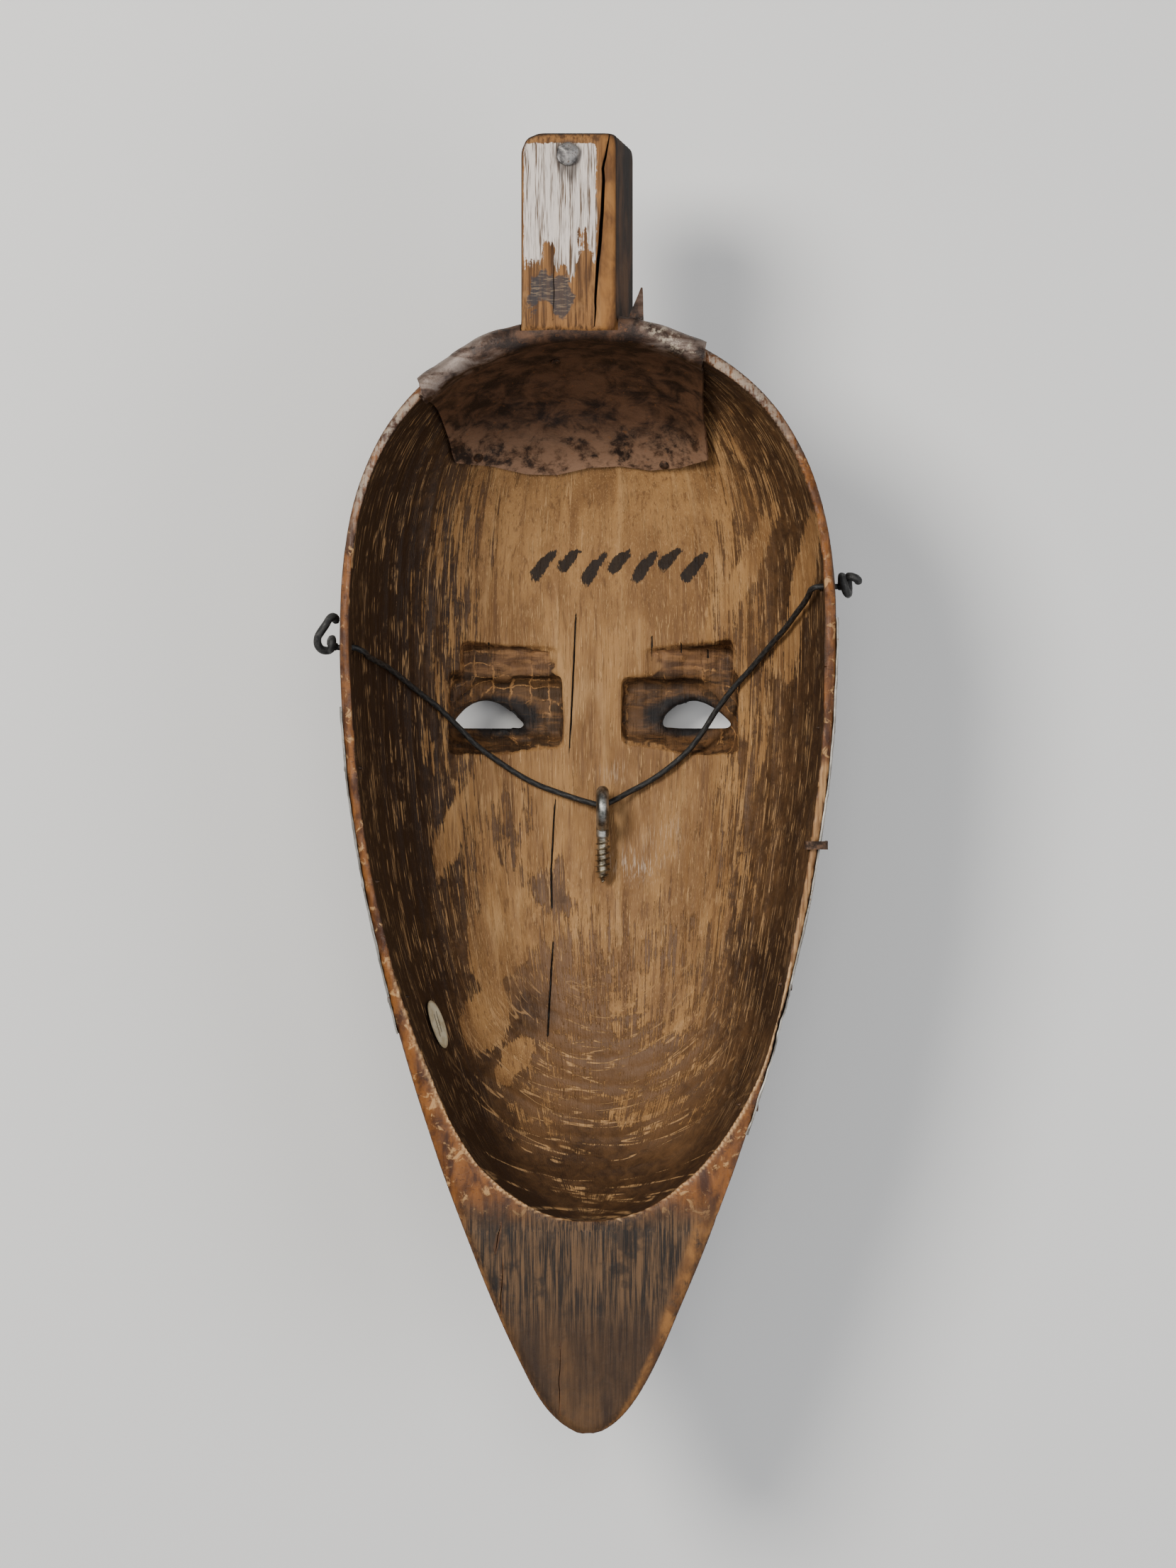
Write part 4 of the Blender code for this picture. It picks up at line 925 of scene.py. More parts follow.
def describe_wood(mesh):
    """The numbers that the wood's finish needs at each vertex."""
    points, normals = mesh_points(mesh), mesh_normals(mesh)
    x, y, z = points.T
    masks = wood_masks(points, normals)
    top, post, inside, facing = (masks[name] for name in ("top", "post", "inside", "facing"))
    across, along, ring, turn, arcs = flow_of(points)
    cuts = tool_cuts(across, along, ring, turn, arcs)
    film, thick = film_on(points)
    spots = {name: patches(points, places) for name, places in WOOD_SPOTS.items()}
    edge_start = 0.93 - 0.13 * blend(x, -0.004, 0.004)
    chin_edge = blend(np.abs(x) / np.maximum(half_width(y), 1e-4), edge_start, edge_start + 0.08)
    lip_line = blend(np.abs(hollow_half_width(y) - np.abs(x - hollow_middle(y))), 0.0016, 0.0004)
    paint = blend(x, -0.0222, -0.0210) * blend(x, 0.0030, 0.0022)
    paint *= blend(y, 0.1725, 0.1765) * blend(y, 0.2160, 0.2142)
    cracks, beside = line_reach(points, (*RECESS_CRACKS, *CRACKS))
    numbers = {
        "strokes": np.column_stack([across, along, x * 0]),
        "arc_strokes": np.column_stack([ring, turn, x * 0]),
        "arcs": arcs,
        "inside": inside,
        "recess": masks["recess"],
        "upper_cuts": blend(y, 0.0375, 0.0405),
        "cut_tone": hashed(chisel_cells(points), 22),
        "top": top,
        "post": post,
        "front": blend(facing, 0.1, 0.5) * (1 - top) * (1 - post),
        "ridge": blend(cuts, 0.55, 0.95) * inside,
        "film": film,
        "thick": thick,
        "chin": top * blend(y, -0.135, -0.150),
        "chin_low": blend(y, -0.168, -0.190),
        "chin_edge": chin_edge,
        "lip_line": lip_line * top * (y < -0.060) * (y > HOLLOW_LIP_Y),
        "grey_rim": spots["grey_rim"] * top,
        "raw_rim": (x > 0) * blend(y, 0.009, 0.005) * blend(y, -0.093, -0.087) * top,
        "bark_rim": blend(y, 0.070, 0.095) * (x > 0) * top,
        "wear": blend(facing, 0.1, 0.5) * worn_high(points, normals),
        "residue": spots["residue"],
        "paint": np.clip(paint - spots["flaked"], 0, 1),
        "halo": spots["halo"],
        "right_strip": blend(x, 0.0034, 0.0048) * post,
        "bloom": spots["bloom"],
        # painted shade in the eye recesses, stronger towards their bottoms
        "recess_shade": spots["recess_shade"] * blend(z, 0.036, 0.018),
        "dabs": brush_dabs(points) + 9 * (inside < 0.5),
        "crack": np.abs(cracks) + 9 * (1 - beside),
    }
    for name, values in numbers.items():
        give(mesh, name, values)


def worn_wood_finish():
    finish = Finish("worn wood", Specular_IOR_Level=0.32)
    strokes, arc_strokes = finish.vertex_vector("strokes"), finish.vertex_vector("arc_strokes")
    names = ("arcs", "inside", "recess", "top", "post", "front", "ridge", "film", "thick", "chin", "chin_low")
    arcs, inside, recess, top, post, front, ridge, film, thick, chin, low = map(finish.vertex, names)
    grain = finish.noise((900, 34, 900), 5, 0.6, 0.3)
    fine_grain = finish.noise((3200, 90, 3200), 3, 0.6)
    broad = finish.noise((70, 26, 70), 4, 0.55, 0.4)
    mottle = finish.noise(260, 5, 0.66, 0.6)
    breaks = finish.noise(120, 4, 0.62)
    flakes = finish.noise((290, 40, 1), 4, 0.6, 0.5, strokes)
    fibres = finish.noise((1300, 46, 1), 3, 0.6, 0.2, strokes, (3, 5, 0))
    sweeps = finish.noise((210, 11, 1), 5, 0.62, 0.7, strokes, (5, 1, 0))
    hair_field = finish.noise((430, 18, 1), 3, 0.55, 0.1, strokes, (1, 2, 0))
    arc_flakes = finish.noise((340, 60, 1), 4, 0.6, 0.5, arc_strokes)
    arc_field = finish.noise((230, 16, 1), 3, 0.55, 0.2, arc_strokes, (4, 1, 0))

    bare = finish.coats(
        finish.mix(broad.rise(0.36, 0.64), (130, 93, 54), (164, 122, 74)),
        (sweeps.rise(0.52, 0.64) * (0.25 + film.rise(0.0, 0.35) * 0.55), (98, 66, 38)),
        (grain.rise(0.52, 0.66) * 0.7, (104, 72, 42)),
        (fine_grain.rise(0.55, 0.70) * 0.55, (196, 154, 104)),
        (ridge * 0.4, (192, 150, 100)),
    )
    thickness = thick + (mottle - 0.5) * 0.8 + (broad - 0.5) * 0.6
    film_colour = finish.coats(
        finish.mix(thickness.rise(0.0, 0.9), (112, 80, 50), (44, 27, 14)),
        (fine_grain.rise(0.58, 0.74) * 0.25, (112, 82, 53)),
    )
    lift = (flakes * (1 - arcs) + arc_flakes * arcs - 0.5) * 1.5 + (fibres - 0.5) * 1.5
    covered = ((film - 0.5) * 1.45 + lift + (mottle - 0.5) * 0.5).rise(-0.03, 0.07)
    hairs = (hair_field - 0.5).size().rise(0.022, 0.006) * (1 - arcs)
    hairs = hairs + (arc_field - 0.5).size().rise(0.022, 0.005) * arcs
    hairs = hairs * (breaks + (fibres - 0.5) * 0.5).rise(0.44, 0.54)
    pale = finish.vertex("bloom") * (fine_grain * 0.7 + grain * 0.3).rise(0.50, 0.60)

    chisel = finish.noise((90, 420, 260), 5, 0.6, 0.5)
    chips = finish.noise(330, 4, 0.6, 0.7)
    cut_tone = finish.vertex("cut_tone")
    place_x, place_y, place_z = finish.axes(finish.place)
    sway = (breaks - 0.5) * 0.9 + (mottle - 0.5) * 0.3
    cut_x = (place_x * (1 / CHISEL_CUT[0]) + sway).math("FRACT")
    cut_y = ((place_y + place_z * CHISEL_SLANT) * (1 / CHISEL_CUT[1]) + sway).math("FRACT")
    cut_edge = (cut_x - 0.5).size().larger((cut_y - 0.5).size()).rise(0.42, 0.485)
    recess_colour = finish.coats(
        finish.mix(chisel.rise(0.42, 0.66), (40, 25, 14), (104, 71, 40)),
        (chips.rise(0.56, 0.64) * 0.6, (46, 32, 22)),
        (
            finish.vertex("upper_cuts") * cut_tone.rise(-0.2, 0.6),
            finish.mix(chisel.rise(0.40, 0.64), (88, 58, 35), (140, 100, 62)),
        ),
        (cut_tone.rise(0.50, 0.95) * 0.5, (112, 78, 48)),
        (cut_edge * (broad + grain * 0.4).rise(0.66, 0.80), (176, 128, 78)),
    )
    hollow_colour = finish.coats(
        bare,
        (covered, film_colour),
        (hairs * 0.8, (186, 144, 96)),
        (pale * 0.5, (202, 180, 156)),
        (recess * 0.9, recess_colour),
    )

    polish = finish.noise((160, 70, 160), 4, 0.6, 0.4)
    ticks = finish.noise((500, 1500, 500), 3, 0.6)
    orange = finish.mix(polish.rise(0.36, 0.64), (94, 60, 29), (146, 100, 52))
    chin_colour = finish.coats(
        finish.mix((grain * 0.6 + fine_grain * 0.4).rise(0.42, 0.58), (30, 21, 14), (102, 75, 48)),
        (low * (0.5 + mottle * 0.6), finish.mix(broad.rise(0.34, 0.66), (52, 34, 19), (92, 64, 36))),
        ((breaks * 0.6 + broad * 0.4).rise(0.50, 0.60) * (1 - low * 0.6) * 0.7, (26, 19, 14)),
        (finish.vertex("chin_edge") * (mottle + 0.3).rise(0.55, 0.85), orange),
    )
    rim_colour = finish.coats(
        finish.mix(polish.rise(0.36, 0.64), (66, 35, 13), (134, 82, 34)),
        (ticks.rise(0.60, 0.70) * 0.7, (52, 32, 18)),
        # painted highlights: pale cream spots over the polished rim
        (mottle.rise(0.56, 0.66) * 0.6, (204, 160, 106)),
        (finish.vertex("bark_rim") * breaks.rise(0.42, 0.56) * 0.7, (84, 52, 28)),
        (finish.vertex("grey_rim") * (mottle * 0.6 + grain * 0.4).rise(0.42, 0.54) * 0.75, (164, 148, 130)),
        (finish.vertex("raw_rim"), finish.mix(grain.rise(0.40, 0.62), (178, 134, 84), (120, 82, 46))),
        (chin, chin_colour),
        (finish.vertex("lip_line") * mottle.rise(0.34, 0.52), (222, 176, 122)),
    )

    rubbed = (finish.vertex("wear") + (mottle - 0.5) * 0.5).rise(0.20, 0.80)
    wood_front = finish.coats(
        finish.mix(broad.rise(0.35, 0.65), (42, 27, 17), (78, 49, 28)),
        (grain.rise(0.52, 0.70) * 0.5, (28, 19, 13)),
        (rubbed * 0.75, (128, 80, 42)),
        ((mottle * 0.5 + breaks * 0.5).rise(0.57, 0.64) * 0.5, (112, 78, 50)),
    )

    painted = finish.mix((grain * 0.45 + fine_grain * 0.55).rise(0.48, 0.60), (226, 214, 203), (84, 67, 52))
    worn_paint = (finish.vertex("paint") + (grain - 0.5) * 1.6 + (mottle - 0.5) * 1.2).rise(0.42, 0.58)
    scratches = finish.noise((260, 1500, 260), 3, 0.6, 0.4)
    grime = (finish.vertex("residue") + (mottle - 0.5) * 1.4).rise(0.40, 0.60)
    halo = finish.vertex("halo") * (0.55 + grain * 0.7)
    post_back = finish.coats(
        finish.mix(grain.rise(0.38, 0.62), (82, 54, 29), (146, 102, 58)),
        (polish.rise(0.52, 0.68) * 0.5, (178, 132, 80)),
        (worn_paint * 0.92, painted),
        (grime * 0.85, finish.mix(scratches.rise(0.52, 0.62), (52, 51, 54), (112, 98, 82))),
        (halo.rise(0.25, 0.85) * 0.75, (52, 44, 40)),
        (finish.vertex("right_strip") * 0.9, orange),
    )
    post_sides = finish.mix(broad.rise(0.4, 0.7), (28, 20, 15), (82, 55, 33))

    dabs = (finish.vertex("dabs") + (mottle - 0.5) * 1.5 + (fine_grain - 0.5) * 1.6).rise(1.15, 0.85)
    crack = (finish.vertex("crack") + (fine_grain - 0.5) * 0.4).rise(0.45, 0.14)
    colour = finish.coats(
        finish.mix(inside, rim_colour, hollow_colour),
        (front, wood_front),
        (post, finish.mix(top, post_sides, post_back)),
        (dabs * 0.94, (24, 20, 18)),
        # painted shade: near-black in the eye recesses, deepest towards their bottoms
        ((finish.vertex("recess_shade") + (chips - 0.5) * 0.6).rise(0.25, 0.85) * 0.92, (24, 23, 24)),
        (crack, (14, 9, 6)),
    )
    relief = (covered * 0.35 + fibres * 0.4 + hairs * 0.35) * inside + grain * 0.5 + mottle * 0.45 - crack
    rough = 0.66 - covered * inside * 0.14 - (1 - inside) * 0.22 + chin * 0.16
    finish.set(
        Base_Color=colour,
        Roughness=rough + post * 0.3 + post * (1 - top) * 0.25 + (mottle - 0.5) * 0.3,
        Normal=finish.bump(fine_grain, 0.00010, finish.bump(relief, 0.00045)),
    )
    return finish.material


def rim_level(x, y):
    return x * 0 + RIM_Z


def post_level(x, y):
    return x * 0 + RIM_Z + POST_PROUD


def smoothed(mesh, degrees):
    """The mesh shaded smooth, but for the edges that bend by more than this."""
    mesh.shade_smooth()
    mesh.set_sharp_from_angle(angle=math.radians(degrees))
    return mesh


wood_mesh = carve_wood(remeshed("mask_body", VOXEL))
thin_out = {"ratio": THIN_RATIO, "vertex_group": "outside", "vertex_group_factor": 1.0}
cracks = [(line, hollow_z, CRACK_WIDTH, CRACK_DEPTH) for line in CRACKS]
cracks += [(line, rim_level, CRACK_WIDTH, CRACK_DEPTH) for line in (*CHIN_CRACKS, *RIM_CRACKS)]
cracks += [(POST_CRACKS[0], post_level, SPLIT_WIDTH, SPLIT_DEPTH)]
cracks += [(POST_CRACKS[1], post_level, CRACK_WIDTH, CRACK_DEPTH)]
cutter = wood_cutter(cracks)
carving = [("DECIMATE", thin_out), ("BOOLEAN", {"operation": "DIFFERENCE", "object": cutter})]
wood_mesh = apply_modifiers(wood_mesh, carving)
bpy.data.objects.remove(cutter, do_unlink=True)
describe_wood(wood_mesh)
add_piece("mask_wood", smoothed(wood_mesh, 52), worn_wood_finish(), "mask_body")

# Crown sheet: thin iron folded over the crown into the hollow on both sides of the post, rusted brown,
# with a wavy lower edge held by small nails and one torn corner that stands up beside the post.
SHEET_THICKNESS = 0.0007
SHEET_GAP = 0.0008
SHEET_LIFT = 0.0035
SHEET_FOLD_X = (-0.0560, 0.0390)
SHEET_FOOT_X = (-0.0473, 0.0440)
SHEET_FRONT_DROP = 0.048
SHEET_COLUMNS = 150
EDGE_ROUND = 0.0022
FIT_GAP = 0.0004
POST_FRONT_LEFT_X = -0.0205
POST_FRONT_RIGHT_X = 0.0160
POST_FRONT_FOOT_Y = 0.1430
POST_BLOCK_RISE = 0.004
POST_BLOCK_DEPTH = 0.045
TORN_ROWS = 12
TORN_COLUMNS = 8
TORN_FOOT = (0.0112, 0.0190, 0.1512)
TORN_TIP = (0.0178, 0.0183, 0.1670)
LOWER_EDGE = (
    (-47.3, 112.4),
    (-33.2, 111.4),
    (-22.2, 109.1),
    (-11.4, 108.9),
    (0.4, 111.6),
    (12.1, 111.9),
    (22.2, 110.4),
    (33.2, 111.6),
    (44.0, 114.9),
)


def where_true(low, high, true_at):
    """For each value, how far up from low a test stays true, found by halving."""
    for _ in range(40):
        middle = (low + high) / 2
        holds = true_at(middle)
        low, high = np.where(holds, middle, low), np.where(holds, high, middle)
    return low


def crown_edge(x, width_at, top_y):
    """Where an outline's upper half reaches x."""
    return where_true(np.full(len(x), WIDEST_Y), np.full(len(x), top_y), lambda y: width_at(y) > np.abs(x))


def front_z(x, y):
    down = down_share(x / np.maximum(half_width(y), 1e-6), FRONT_SECTION_POWER)
    return RIM_Z - EDGE_BAND - (front_depth(y) - EDGE_BAND) * down


def skin_mesh(name, rows, away, thickness, stand_off):
    """A thin closed skin over rows of points, on the side that the direction away points to."""
    shape = bmesh.new()
    grid = [[shape.verts.new(point) for point in row] for row in rows]
    for near, far in zip(grid, grid[1:]):
        for i in range(len(near) - 1):
            shape.faces.new((near[i], near[i + 1], far[i + 1], far[i]))
    mesh = mesh_of(name, shape, away)
    points, normals = mesh_points(mesh), mesh_normals(mesh)
    move_points(mesh, points + normals * stand_off(points, normals)[:, None])
    return apply_modifiers(mesh, [("SOLIDIFY", {"thickness": thickness, "offset": 1.0})])


def crown_sheet_rows():
    along = np.linspace(0, 1, SHEET_COLUMNS)
    rows = []
    for down in np.linspace(1, 0.02, 90):
        left = SHEET_FOLD_X[0] + (SHEET_FOOT_X[0] - SHEET_FOLD_X[0]) * down
        right = SHEET_FOLD_X[1] + (SHEET_FOOT_X[1] - SHEET_FOLD_X[1]) * down
        x = left + (right - left) * along
        edge = crown_edge(x, hollow_half_width, HOLLOW_TOP_Y)
        foot = np.interp(x * 1000, *np.array(LOWER_EDGE).T) / 1000
        y = edge + (foot - edge) * (1 - np.cos(math.pi / 2 * down))
        rows.append(np.column_stack([x, y, hollow_z(x, y)]))
    x = SHEET_FOLD_X[0] + (SHEET_FOLD_X[1] - SHEET_FOLD_X[0]) * along
    inner = crown_edge(x, hollow_half_width, HOLLOW_TOP_Y)
    outer = crown_edge(x, half_width, CROWN_Y)
    for out in np.linspace(0, 1, 13):
        drop = EDGE_ROUND / 2 * abs(2 * out - 1) ** 3
        rows.append(np.column_stack([x, inner + (outer - inner) * out, np.full(len(x), RIM_Z - drop)]))
    for deep in np.linspace(0.0025, EDGE_BAND + SHEET_FRONT_DROP, 60):
        start = np.full(len(x), FRONT_DEEPEST_Y)
        y = where_true(start, outer, lambda y: RIM_Z - front_z(x, y) > deep) if deep > EDGE_BAND else outer
        rows.append(np.column_stack([x, y, np.full(len(x), RIM_Z - deep)]))
    return rows


def sheet_stand_off(points, normals):
    """Close to the wood, dented, and sprung away from it along the right edge inside the hollow."""
    x, y, z = points.T
    inside = share(RIM_Z - z, EDGE_ROUND, HOLLOW_DEPTH / 3) * (1 - share(y, 0.110, HOLLOW_TOP_Y) ** 4)
    inside *= y < crown_edge(x, hollow_half_width, HOLLOW_TOP_Y) + 0.0002
    sprung = SHEET_LIFT * inside * share(x, SHEET_FOOT_X[1] / 2, SHEET_FOOT_X[1]) ** 2
    dents = 0.00050 * soft_noise(points, 0.012, 31) + 0.00022 * soft_noise(points, 0.005, 32)
    fold = blend(z, RIM_Z - 0.010, RIM_Z - 0.002)
    return SHEET_GAP + sprung + np.maximum(dents * (1 + 0.8 * fold), -0.0005) + 0.0003


def post_block(grow):
    """The crest post's plain block, which the sheet is cut round."""
    shape = bmesh.new()
    bmesh.ops.create_cube(shape, size=2)
    for vertex in shape.verts:
        x, y, z = vertex.co
        deep = (1 - z) / 2
        left = POST_LEFT_X + (POST_FRONT_LEFT_X - POST_LEFT_X) * deep - grow
        right = POST_RIGHT_X + (POST_FRONT_RIGHT_X - POST_RIGHT_X) * deep + grow
        foot = POST_FOOT_Y + (POST_FRONT_FOOT_Y - POST_FOOT_Y) * deep - grow
        height = RIM_Z + POST_BLOCK_RISE - POST_BLOCK_DEPTH * deep
        vertex.co = (right if x > 0 else left, POST_TOP_Y if y > 0 else foot, height)
    return placed("post block", mesh_of("post block", shape))


def as_drawn(points, normals):
    return points[:, 0] * 0


def torn_corner():
    """A curled, torn triangle of the sheet that stands up beside the post."""
    rows = []
    for i in range(TORN_ROWS + 1):
        up = i / TORN_ROWS
        left, right, row_y = (foot + (tip - foot) * up for foot, tip in zip(TORN_FOOT, TORN_TIP))
        row = []
        for j in range(TORN_COLUMNS + 1):
            along = j / TORN_COLUMNS
            y = row_y + 0.0006 * math.sin(9 * along + 4 * up) * (1 - up)
            z = RIM_Z - 0.0046 + 0.0030 * up**2 - 0.0010 * along * (1 - up)
            row.append((left + (right - left) * along, y, z))
        rows.append(row)
    return skin_mesh("torn corner", rows, (0, -0.3, 1), SHEET_THICKNESS, as_drawn)


def iron_sheet_finish():
    finish = Finish("rusted iron sheet", Metallic=0.35)
    rust = finish.noise(120, 6, 0.66, 0.6)
    spots = finish.noise(420, 4, 0.7)
    sweep = finish.noise((40, 130, 90), 5, 0.6, 1.2)
    worn = finish.vertex("fold_wear_and_sheen")
    lit = finish.vertex("lit_foot_band")
    base = finish.coats(
        finish.mix((rust * 0.6 + sweep * 0.4).rise(0.40, 0.60), (36, 23, 15), (96, 66, 45)),
        # painted light: a paler, rust-mottled band where the lower sheet catches more light
        (lit * (rust * 0.6 + spots * 0.4).rise(0.40, 0.56), (146, 112, 86)),
        (spots.rise(0.60, 0.72) * 0.5, (132, 84, 46)),
        # worn metal and a painted grey sheen along the fold over the rim
        (
            worn * 0.7 * (sweep * 0.5 + rust * 0.5).rise(0.42, 0.60),
            finish.mix(sweep.rise(0.40, 0.60), (78, 68, 62), (132, 122, 114)),
        ),
        (finish.vertex("residue") * spots.rise(0.46, 0.62) * 0.7, (188, 172, 150)),
    )
    pits = finish.noise(900, 4, 0.7)
    finish.set(
        Base_Color=base,
        Roughness=0.58 + (rust - 0.5) * 0.4 - worn * 0.16,
        Normal=finish.bump(pits + rust * 0.8, 0.00018),
    )
    return finish.material


RUSTED_IRON = iron_sheet_finish()
crown_sheet = skin_mesh("crown sheet", crown_sheet_rows(), (0, -1, 1), SHEET_THICKNESS, sheet_stand_off)
cutter = post_block(FIT_GAP)
corner = placed("torn corner", torn_corner())
joins = [("BOOLEAN", {"operation": "DIFFERENCE", "object": cutter})]
joins += [("BOOLEAN", {"operation": "UNION", "object": corner})]
crown_sheet = apply_modifiers(crown_sheet, joins)
for helper in (cutter, corner):
    bpy.data.objects.remove(helper, do_unlink=True)
sheet_points = mesh_points(crown_sheet)
sheet_x, sheet_y, sheet_z = sheet_points.T
at_fold = blend(sheet_z, RIM_Z - 0.012, RIM_Z - 0.001)
# worn metal and painted sheen where the sheet folds over the rim
give(crown_sheet, "fold_wear_and_sheen", at_fold * blend(np.abs(sheet_x + 0.006), 0.016, 0.030))
# painted light on the sheet's lower band inside the hollow
give(crown_sheet, "lit_foot_band", blend(sheet_y, 0.128, 0.110) * (sheet_z < RIM_Z - 0.012))
residue = patches(sheet_points, ((27, 150, 12, 3.2, -32, 1), (45, 138, 8, 3, -38, 0.8)))
give(crown_sheet, "residue", residue * at_fold)
crown_sheet.set_sharp_from_angle(angle=math.radians(50))
add_piece("crown_sheet", crown_sheet, RUSTED_IRON, "forehead_sheet")

# Cheek facings: thin grey metal beaten over both sides from the rim down, dull and scratched, held by three
# nails on each side.
FACING_THICKNESS = 0.0005
FACING_GAP = 0.00015
FACING_ROWS = 50
WOOD_REACH = 0.004
FACING_RIM_DROP = 0.0012
FACING_TURN_END = 0.62
FACING_BAND_ROWS = 6
FACINGS = {"left": (-1, 0.026, -0.084, 120), "right": (1, 0.056, -0.118, 190)}


def tree_of(mesh):
    """A mesh's faces, to be met by rays."""
    faces = [tuple(face.vertices) for face in mesh.polygons]
    return BVHTree.FromPolygons([tuple(point) for point in mesh_points(mesh)], faces)


def facing_rows(side, top_y, foot_y, columns):
    y = np.linspace(top_y, foot_y, columns)
    rows = []
    for drop in np.linspace(FACING_RIM_DROP, EDGE_BAND, FACING_BAND_ROWS + 1)[:-1]:
        rows.append(np.column_stack([side * half_width(y), y, np.full(len(y), RIM_Z - drop)]))
    for turn in np.linspace(1, FACING_TURN_END, FACING_ROWS - FACING_BAND_ROWS):
        angle = turn * math.pi / 2
        x = side * half_width(y) * math.sin(angle) ** (2 / FRONT_SECTION_POWER)
        z = RIM_Z - EDGE_BAND - (front_depth(y) - EDGE_BAND) * math.cos(angle)
        rows.append(np.column_stack([x, y, z]))
    return rows


def facing_stand_off(points, normals):
    """Tight on the carved wood behind, bridging its small dips, with the dents of a hammer."""
    away = []
    for point, normal in zip(points, normals):
        start = Vector(point + normal * WOOD_REACH)
        distance = wood_tree.ray_cast(start, Vector(-normal), 2 * WOOD_REACH)[3]
        away.append(0.0 if distance is None else WOOD_REACH - distance)
    away = np.pad(np.array(away).reshape(FACING_ROWS, -1), 2, mode="edge")
    rows, columns = away.shape
    near = [away[i : rows - 2 + i, j : columns - 2 + j] for i in range(3) for j in range(3)]
    bridged = np.maximum.reduce(near)
    rows, columns = bridged.shape
    evened = sum(bridged[i : rows - 2 + i, j : columns - 2 + j] for i in range(3) for j in range(3)) / 9
    evened = np.maximum(evened, away[2:-2, 2:-2]).ravel()
    _, y, z = points.T
    dents = gouges(y + 0.2 * z, z - 0.3 * y, 0.0075, 0.0090, 41)
    return evened + FACING_GAP + 0.00025 * dents + 0.0001 * np.abs(soft_noise(points, 0.022, 42))


def facing_finish():
    finish = Finish("dull facing metal", Metallic=0.85)
    stain = finish.noise(90, 5, 0.6, 0.5)
    scratches = finish.noise((200, 60, 2400), 4, 0.7)
    spots = finish.noise(380, 4, 0.7)
    finish.set(
        Base_Color=finish.coats(
            finish.mix(stain.rise(0.36, 0.66), (96, 92, 86), (172, 168, 160)),
            (scratches.rise(0.56, 0.72) * 0.5, (206, 203, 196)),
            (spots.rise(0.60, 0.74), (92, 66, 46)),
        ),
        Roughness=0.36 + stain * 0.3,
        Normal=finish.bump(scratches * 0.5 + spots * 0.5, 0.00008),
    )
    return finish.material


FACING_METAL = facing_finish()
wood_tree = tree_of(wood_mesh)
facing_trees = {}
for word, (side, *reach) in FACINGS.items():
    rows = facing_rows(side, *reach)
    facing = skin_mesh(f"{word}_facing", rows, (side, 0, 0), FACING_THICKNESS, facing_stand_off)
    smoothed(facing, 50)
    facing_trees[word] = tree_of(facing)
    add_piece(f"{word}_facing", facing, FACING_METAL, f"{word}_cheek_facing")

# Nails: hand-forged iron, each with a flat hammered head on a round shank. One is in the back of the post,
# three hold each facing and three the crown sheet.
NAIL_SIDES = 48
NAIL_SINK = 0.0002
HEAD_RINGS = 16
EDGE_RINGS = 4
SHANK_RINGS = 14


def nail_axis(node):
    """The outer end of a nail's head and the way its shank runs, from the CAD nail's own points."""
    points = mesh_points(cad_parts[node].data)
    middle = points.mean(axis=0)
    values, ways = np.linalg.eigh(np.cov((points - middle).T))
    way = ways[:, 2] if values[2] - values[1] > values[1] - values[0] else ways[:, 0]
    along = (points - middle) @ way
    out = np.linalg.norm(points - middle - along[:, None] * way, axis=1)
    if along[np.argmax(out)] > 0:
        way, along = -way, -along
    return Vector(middle + way * along.min()), Vector(way), float(out.max()), float(np.ptp(along))


def hammered_nail(name, node, seed, flats, spread=1.0, under=None):
    """A head with hammered flats and an uneven edge, on a shank that tapers to its point."""
    outer, way, radius, length = nail_axis(node)
    thick, shank = radius * 0.36, radius * 0.36
    if under is not None:
        reached = under.ray_cast(outer - way * WOOD_REACH, way)[0]
        home = (reached - outer).dot(way) - thick + NAIL_SINK
        outer = outer + way * home
        length = length - home
    rings = []
    rng = np.random.default_rng(seed)
    bumps = rng.uniform(-1, 1, 5)
    for step in range(HEAD_RINGS + EDGE_RINGS + SHANK_RINGS):
        if step < HEAD_RINGS:
            part = step / (HEAD_RINGS - 1)
            size = radius * math.sin(part * math.pi / 2)
            height = -thick * 0.45 * (1 - math.cos(part * math.pi / 2) ** 0.5)
        elif step < HEAD_RINGS + EDGE_RINGS:
            below = step - HEAD_RINGS + 1
            size, height = radius * (1 - 0.02 * below), -thick * (0.45 + 0.14 * below)
        else:
            part = (step - HEAD_RINGS - EDGE_RINGS) / (SHANK_RINGS - 1)
            size = shank * (1 - max(part - 0.75, 0) * 3.4)
            height = -thick - (length - thick) * part
        rings.append((size, height))
    frame_x = way.orthogonal().normalized()
    frame_y = way.cross(frame_x)
    shape = bmesh.new()
    made = []
    for number, (size, height) in enumerate(rings):
        ring = []
        for j in range(NAIL_SIDES):
            angle = 2 * math.pi * j / NAIL_SIDES
            wave = sum(bump * math.cos((k + 2) * angle + k) for k, bump in enumerate(bumps)) / 5
            edge = 1 - 0.16 * spread * (0.5 + 0.5 * wave) if number < HEAD_RINGS + EDGE_RINGS else 1
            x, y = size * edge * math.cos(angle), size * edge * math.sin(angle)
            drop = 0.0
            if number < HEAD_RINGS:
                for tilt, reach, turn in flats:
                    across = (x * math.cos(turn) + y * math.sin(turn)) / radius
                    drop = max(drop, tilt * radius * max(across - reach, 0))
            place = outer + frame_x * x + frame_y * y + way * (-height + drop)
            ring.append(shape.verts.new(place))
        made.append(ring)
    join_rings(shape, made, (-1,))
    bmesh.ops.remove_doubles(shape, verts=shape.verts, dist=1e-6)
    return smoothed(mesh_of(name, shape), 32)


